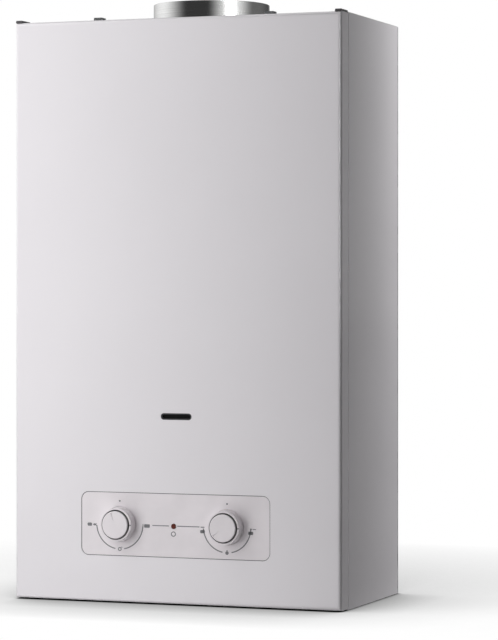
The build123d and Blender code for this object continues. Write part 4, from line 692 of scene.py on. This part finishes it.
class HEATER_OT_knobs(bpy.types.Operator):
    """The two knobs and their spindles"""

    bl_idname = "heater.knobs"
    bl_label = "Knobs"

    def execute(self, context):
        for node, turn in (("gas_knob", 17.0), ("temperature_knob", 130.0)):
            x, _, z = middle(node)
            knob(node, x, z, math.radians(90 + turn))
        skin("gas_spindle", "gas_knob", "brass")
        skin("temperature_spindle", "temperature_knob", "brass")
        return {"FINISHED"}


class HEATER_OT_lamp(bpy.types.Operator):
    """Lamp, its lens and the sight window"""

    bl_idname = "heater.lamp"
    bl_label = "Lamp and window"

    def execute(self, context):
        skin("lamp", "chassis", "lamp_glass")
        skin("window_bezel", "front_cover", "black_plastic")
        skin("window_pane", "front_cover", "glass")
        skin("lamp_lens", "front_cover", "lens_plastic")
        return {"FINISHED"}


class HEATER_OT_collar(bpy.types.Operator):
    """Flue collar, turned from sheet, with a rolled rim and a bead"""

    bl_idname = "heater.collar"
    bl_label = "Flue collar"

    def execute(self, context):
        centre = middle("flue_collar")
        low, high, top = COLLAR_LOW.z, COLLAR_HIGH.z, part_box("top_panel")[1].z
        wall, rim_edge, root = 0.8 * MM, 0.45 * MM, 0.3 * MM
        bead, bead_height, edge = 2.6 * MM, 1.2 * MM, 0.55 * MM
        outer = (COLLAR_HIGH.x - COLLAR_LOW.x) / 2 - bead
        inner = outer - wall
        t = np.linspace(0, math.pi, 13)
        rim = (outer - rim_edge + 0.4 * MM * np.cos(t), high - rim_edge + rim_edge * np.sin(t))
        t = np.linspace(0, math.pi / 2, 7)
        foot = (outer + bead - edge + edge * np.cos(t), top + bead_height - edge + edge * np.sin(t))
        fillet = (outer + root * (1 - np.sin(t)), top + bead_height + root * (1 - np.cos(t)))
        profile = np.vstack((
            ((inner, low), (outer, low), (outer, top), (outer + bead, top)),
            np.stack(foot, -1),
            np.stack(fillet, -1),
            ((outer, high - 3 * MM), (outer - 0.05 * MM, high - 1 * MM)),
            np.stack(rim, -1),
            ((inner, high - 1.4 * MM), (inner, low)),
        ))
        profile -= (0, centre[2])
        piece = turned("flue_collar_turned", profile, centre, (0, 0, 1), "chassis", "bright_steel", 192)
        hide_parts("flue_collar")
        return {"FINISHED"}


class HEATER_OT_exchanger(bpy.types.Operator):
    """Hood, fins, tubes, chamber and coil"""

    bl_idname = "heater.exchanger"
    bl_label = "Heat exchanger"

    def execute(self, context):
        for node in ("draught_hood", "hood_baffle"):
            skin(node, "chassis", "aluminised_steel")
        copper = (
            "fin_block", "exchanger_tubes", "combustion_chamber", "chamber_coil", "hot_water_pipe",
            "cold_feed_pipe",
        )
        for node in copper:
            skin(node, "chassis", "copper")
        skin("chamber_bracket", "chassis", "galvanised_steel")
        skin("limit_switches", "chassis", "valve_ink")
        return {"FINISHED"}


class HEATER_OT_burner(bpy.types.Operator):
    """Burner, manifold, injectors and electrodes"""

    bl_idname = "heater.burner"
    bl_label = "Burner"

    def execute(self, context):
        skin("burner_frame", "chassis", "galvanised_steel")
        skin("burner_blades", "chassis", "aluminised_steel")
        skin("gas_manifold", "chassis", "cast_aluminium")
        skin("injectors", "chassis", "brass")
        skin("electrode_insulators", "chassis", "porcelain")
        skin("electrode_rods", "chassis", "spring_steel")
        return {"FINISHED"}


class HEATER_OT_valves(bpy.types.Operator):
    """Gas valve, water valve and their moving pieces"""

    bl_idname = "heater.valves"
    bl_label = "Valves"

    def execute(self, context):
        slots = (
            ("gas_valve_body", "chassis", "cast_aluminium"),
            ("gas_poppet", "gas_poppet", "rubber"),
            ("solenoid", "chassis", "galvanised_steel"),
            ("solenoid_plunger", "solenoid_plunger", "spring_steel"),
            ("switch_bracket", "chassis", "galvanised_steel"),
            ("microswitch", "chassis", "valve_ink"),
            ("microswitch_lever", "microswitch_lever", "spring_steel"),
            ("push_rod", "push_rod", "brass"),
            ("water_valve_cover", "chassis", "brass"),
            ("diaphragm", "chassis", "rubber"),
            ("water_valve_body", "chassis", "brass"),
            ("valve_screws", "chassis", "galvanised_steel"),
            ("flow_needle", "flow_needle", "brass"),
            ("drain_plug", "chassis", "nylon"),
            ("inlet_filter", "chassis", "nylon"),
            ("pipe_fittings", "chassis", "brass"),
            ("backnuts", "chassis", "brass"),
        )
        for node, body, slot in slots:
            skin(node, body, slot)
        spring = skin("poppet_spring", "chassis", "spring_steel")
        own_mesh(spring)
        return {"FINISHED"}


class HEATER_OT_electrics(bpy.types.Operator):
    """Ignition box, battery box, batteries and leads"""

    bl_idname = "heater.electrics"
    bl_label = "Electrics"

    def execute(self, context):
        skin("ignition_box", "chassis", "valve_ink")
        skin("battery_box", "chassis", "valve_ink")
        skin("battery_door", "battery_door", "black_plastic")
        skin("batteries", "chassis", "cell_jacket")
        skin("leads", "chassis", "lead_sleeve")
        return {"FINISHED"}


class HEATER_OT_stage(bpy.types.Operator):
    """Floor, studio light, world and camera"""

    bl_idname = "heater.stage"
    bl_label = "Stage"

    # How the floor darkens: reach of the rays, share of the shadow, and the way the rays lean
    OCCLUSION = (
        (0.006, 0.5, (0.0, 0.0, 1.0)),
        (0.06, 0.3, (-0.3, 0.6, 0.7)),
        (0.15, 0.55, (0.0, 0.9, 0.4)),
        (0.55, 0.75, (-0.2, -0.9, 0.4)),
    )

    # Place, target, width and height, and spread in degrees of the two lamps
    KEY = ((-0.35, -0.55, 0.3), (0.0, -0.09, 0.3), (0.5, 3.0), 180)
    REAR = ((0.32, 0.30, 0.40), (0.16, 0.08, 0.32), (0.10, 0.95), 80)
    CAMERA_PLACE, CAMERA_TURN = (1.039, -2.630, 0.313), 20.66
    LENS, SHIFT = 154.3, -0.0428
    FLOOR_RADII, FLOOR_STEPS, FLOOR_Z = (0.0001, 0.3, 0.6, 1.0, 2.0, 6.0, 30.0), 64, -0.0002

    def execute(self, context):
        scene = context.scene
        light = scene.heater_light
        floor = self.floor(scene)
        self.world(scene, light)
        lamps = [
            self.lamp(scene, "key_light", light.key, *self.KEY),
            self.lamp(scene, "rear_light", light.rear, *self.REAR),
        ]
        data = bpy.data.cameras.new("camera")
        data.lens, data.sensor_width, data.shift_y = self.LENS, 36.0, self.SHIFT
        data.clip_end = 100.0
        camera = bpy.data.objects.new("camera", data)
        camera.location = self.CAMERA_PLACE
        camera.rotation_euler = (math.radians(90), 0, math.radians(self.CAMERA_TURN))
        scene.collection.objects.link(camera)
        scene.camera = camera
        scene.view_settings.view_transform = "Standard"
        return {"FINISHED"}

    def lamp(self, scene, name, power, place, target, size, spread):
        """An area lamp that faces a target, with the spread of its beam in degrees."""
        data = bpy.data.lights.new(name, "AREA")
        data.shape, data.size, data.size_y, data.energy = "RECTANGLE", size[0], size[1], power
        data.spread = math.radians(spread)
        lamp = bpy.data.objects.new(name, data)
        x, y, z = np.array(target) - np.array(place)
        lamp.location = place
        lamp.rotation_euler = (math.atan2(math.hypot(x, y), -z), 0, math.atan2(-x, y))
        lamp.visible_camera = False
        lamp.visible_glossy = False
        scene.collection.objects.link(lamp)
        return lamp

    def floor(self, scene):
        """A round floor of rings, just under the part.

        It casts no shadow, so the part of the tall lamp that hangs below it shines too.
        """
        t = np.linspace(0, 2 * math.pi, self.FLOOR_STEPS, endpoint=False)
        radii = np.array(self.FLOOR_RADII)[:, None]
        points = np.stack((radii * np.cos(t), radii * np.sin(t), 0 * radii * t + self.FLOOR_Z), -1)
        faces = grid_faces(len(radii), len(t))
        mesh = bpy.data.meshes.new("floor")
        mesh.from_pydata(points.reshape(-1, 3).tolist(), [], faces.tolist())
        mesh.materials.append(self.floor_material())
        floor = bpy.data.objects.new("floor", mesh)
        floor.visible_shadow = False
        scene.collection.objects.link(floor)
        return floor

    def floor_material(self):
        """A pale floor that shows white to the camera where the sky is open over it, and grey by the part.

        It is clear from below. Other rays see it as a plain floor, darker at the right.
        """
        material = bpy.data.materials.new("floor")
        material.use_nodes = True
        tree = material.node_tree
        tree.nodes.clear()
        start = Wire(tree)
        at = start.make("ShaderNodeTexCoord", {}, {}, "Object")
        speckle = at.noise(60.0, 3.0).steps(0.2, 0.8, 0.995, 1.005)
        path = start.make("ShaderNodeLightPath", {}, {}, "Is Camera Ray")
        seen = path + path.beside("Is Transmission Ray")
        shadow = 0.0
        for reach, share, lean in self.OCCLUSION:
            normal = start.make("ShaderNodeCombineXYZ", {}, dict(enumerate(lean)), "Vector")
            inputs = {"Distance": reach, "Normal": normal}
            sky = start.make("ShaderNodeAmbientOcclusion", {"samples": 16}, inputs, "AO")
            shadow = shadow + (1.0 - sky) * share
        shadow = shadow.maths("MINIMUM", shadow, 1.0)
        bounce = at.parts()[0].steps(0.10, 0.26).blend(rgba((0.34,) * 3), rgba((0.04,) * 3))
        diffuse = start.make("ShaderNodeBsdfDiffuse", {}, {"Color": bounce})
        inputs = {"Color": (1, 1, 1, 1), "Strength": (1.0 - shadow) * speckle}
        glow = start.make("ShaderNodeEmission", {}, inputs)
        inputs = {0: seen.maths("MINIMUM", seen, 1.0), 1: diffuse, 2: glow}
        shown = start.make("ShaderNodeMixShader", {}, inputs)
        under = start.make("ShaderNodeNewGeometry", {}, {}, "Backfacing")
        through = start.make("ShaderNodeBsdfTransparent", {}, {})
        whole = start.make("ShaderNodeMixShader", {}, {0: under, 1: shown, 2: through})
        output = tree.nodes.new("ShaderNodeOutputMaterial")
        tree.links.new(whole.socket, output.inputs["Surface"])
        return material

    def world(self, scene, light):
        """White for the camera, a plain level for diffuse light, and walls of a studio for reflections.

        The walls are bands of azimuth, in degrees from the front towards the right.
        """
        world = bpy.data.worlds.new("studio")
        scene.world = world
        world.use_nodes = True
        tree = world.node_tree
        tree.nodes.clear()
        start = Wire(tree)
        x, y, z = start.make("ShaderNodeTexCoord", {}, {}, "Generated").parts()
        azimuth = x.maths("ARCTAN2", x, y * -1.0) * (180 / math.pi)
        height = z.maths("ARCSINE", z) * (180 / math.pi)

        left = azimuth.steps(-90, -28, 0.92, 0.0) * azimuth.steps(-175, -92, 0.25, 1.0)
        right = azimuth.steps(12, 58, 0.0, 0.9) * azimuth.steps(66, 112, 1.0, 0.0)
        strip = azimuth.steps(50, 57) * azimuth.steps(62, 70, 1.0, 0.0) * 12.0
        behind = azimuth.steps(70, 110, 0.0, 0.1) * azimuth.steps(130, 175, 1.0, 0.3)
        walls = 0.04 + left + right + behind + strip
        studio = walls + height.steps(35, 60) * (0.8 - walls)
        path = start.make("ShaderNodeLightPath", {}, {}, "Is Camera Ray")
        white = path + path.beside("Is Transmission Ray")
        level = light.ambient + path.beside("Is Glossy Ray") * (studio - light.ambient)
        level = level + white.maths("MINIMUM", white, 1.0) * (1.0 - level)
        glow = start.make("ShaderNodeBackground", {}, {"Color": (1, 1, 1, 1), "Strength": level})
        output = tree.nodes.new("ShaderNodeOutputWorld")
        tree.links.new(glow.socket, output.inputs["Surface"])


class HEATER_PT_panel(bpy.types.Panel):
    """Lists the groups and their settings"""

    bl_idname = "HEATER_PT_panel"
    bl_label = "Gas water heater"
    bl_space_type = "VIEW_3D"
    bl_region_type = "UI"
    bl_category = "Heater"

    def draw(self, context):
        for group in ("heater_colours", "heater_sizes", "heater_light"):
            settings = getattr(context.scene, group)
            box = self.layout.box()
            for name in settings.__annotations__:
                box.prop(settings, name)
        for operator in OPERATORS:
            self.layout.operator(operator.bl_idname)


GROUPS = {"heater_colours": HeaterColours, "heater_sizes": HeaterSizes, "heater_light": HeaterLight}
OPERATORS = (
    HEATER_OT_casing, HEATER_OT_fascia, HEATER_OT_knobs, HEATER_OT_lamp, HEATER_OT_collar,
    HEATER_OT_exchanger, HEATER_OT_burner, HEATER_OT_valves, HEATER_OT_electrics, HEATER_OT_stage,
)


def register():
    for group in (*GROUPS.values(), *OPERATORS, HEATER_PT_panel):
        bpy.utils.register_class(group)
    for name, group in GROUPS.items():
        setattr(bpy.types.Scene, name, PointerProperty(type=group))


def unregister():
    for name in GROUPS:
        delattr(bpy.types.Scene, name)
    for group in (HEATER_PT_panel, *reversed(OPERATORS), *GROUPS.values()):
        bpy.utils.unregister_class(group)


def main():
    register()
    for operator in OPERATORS:
        getattr(bpy.ops.heater, operator.bl_idname.partition(".")[2])()


if __name__ == "__main__":
    main()
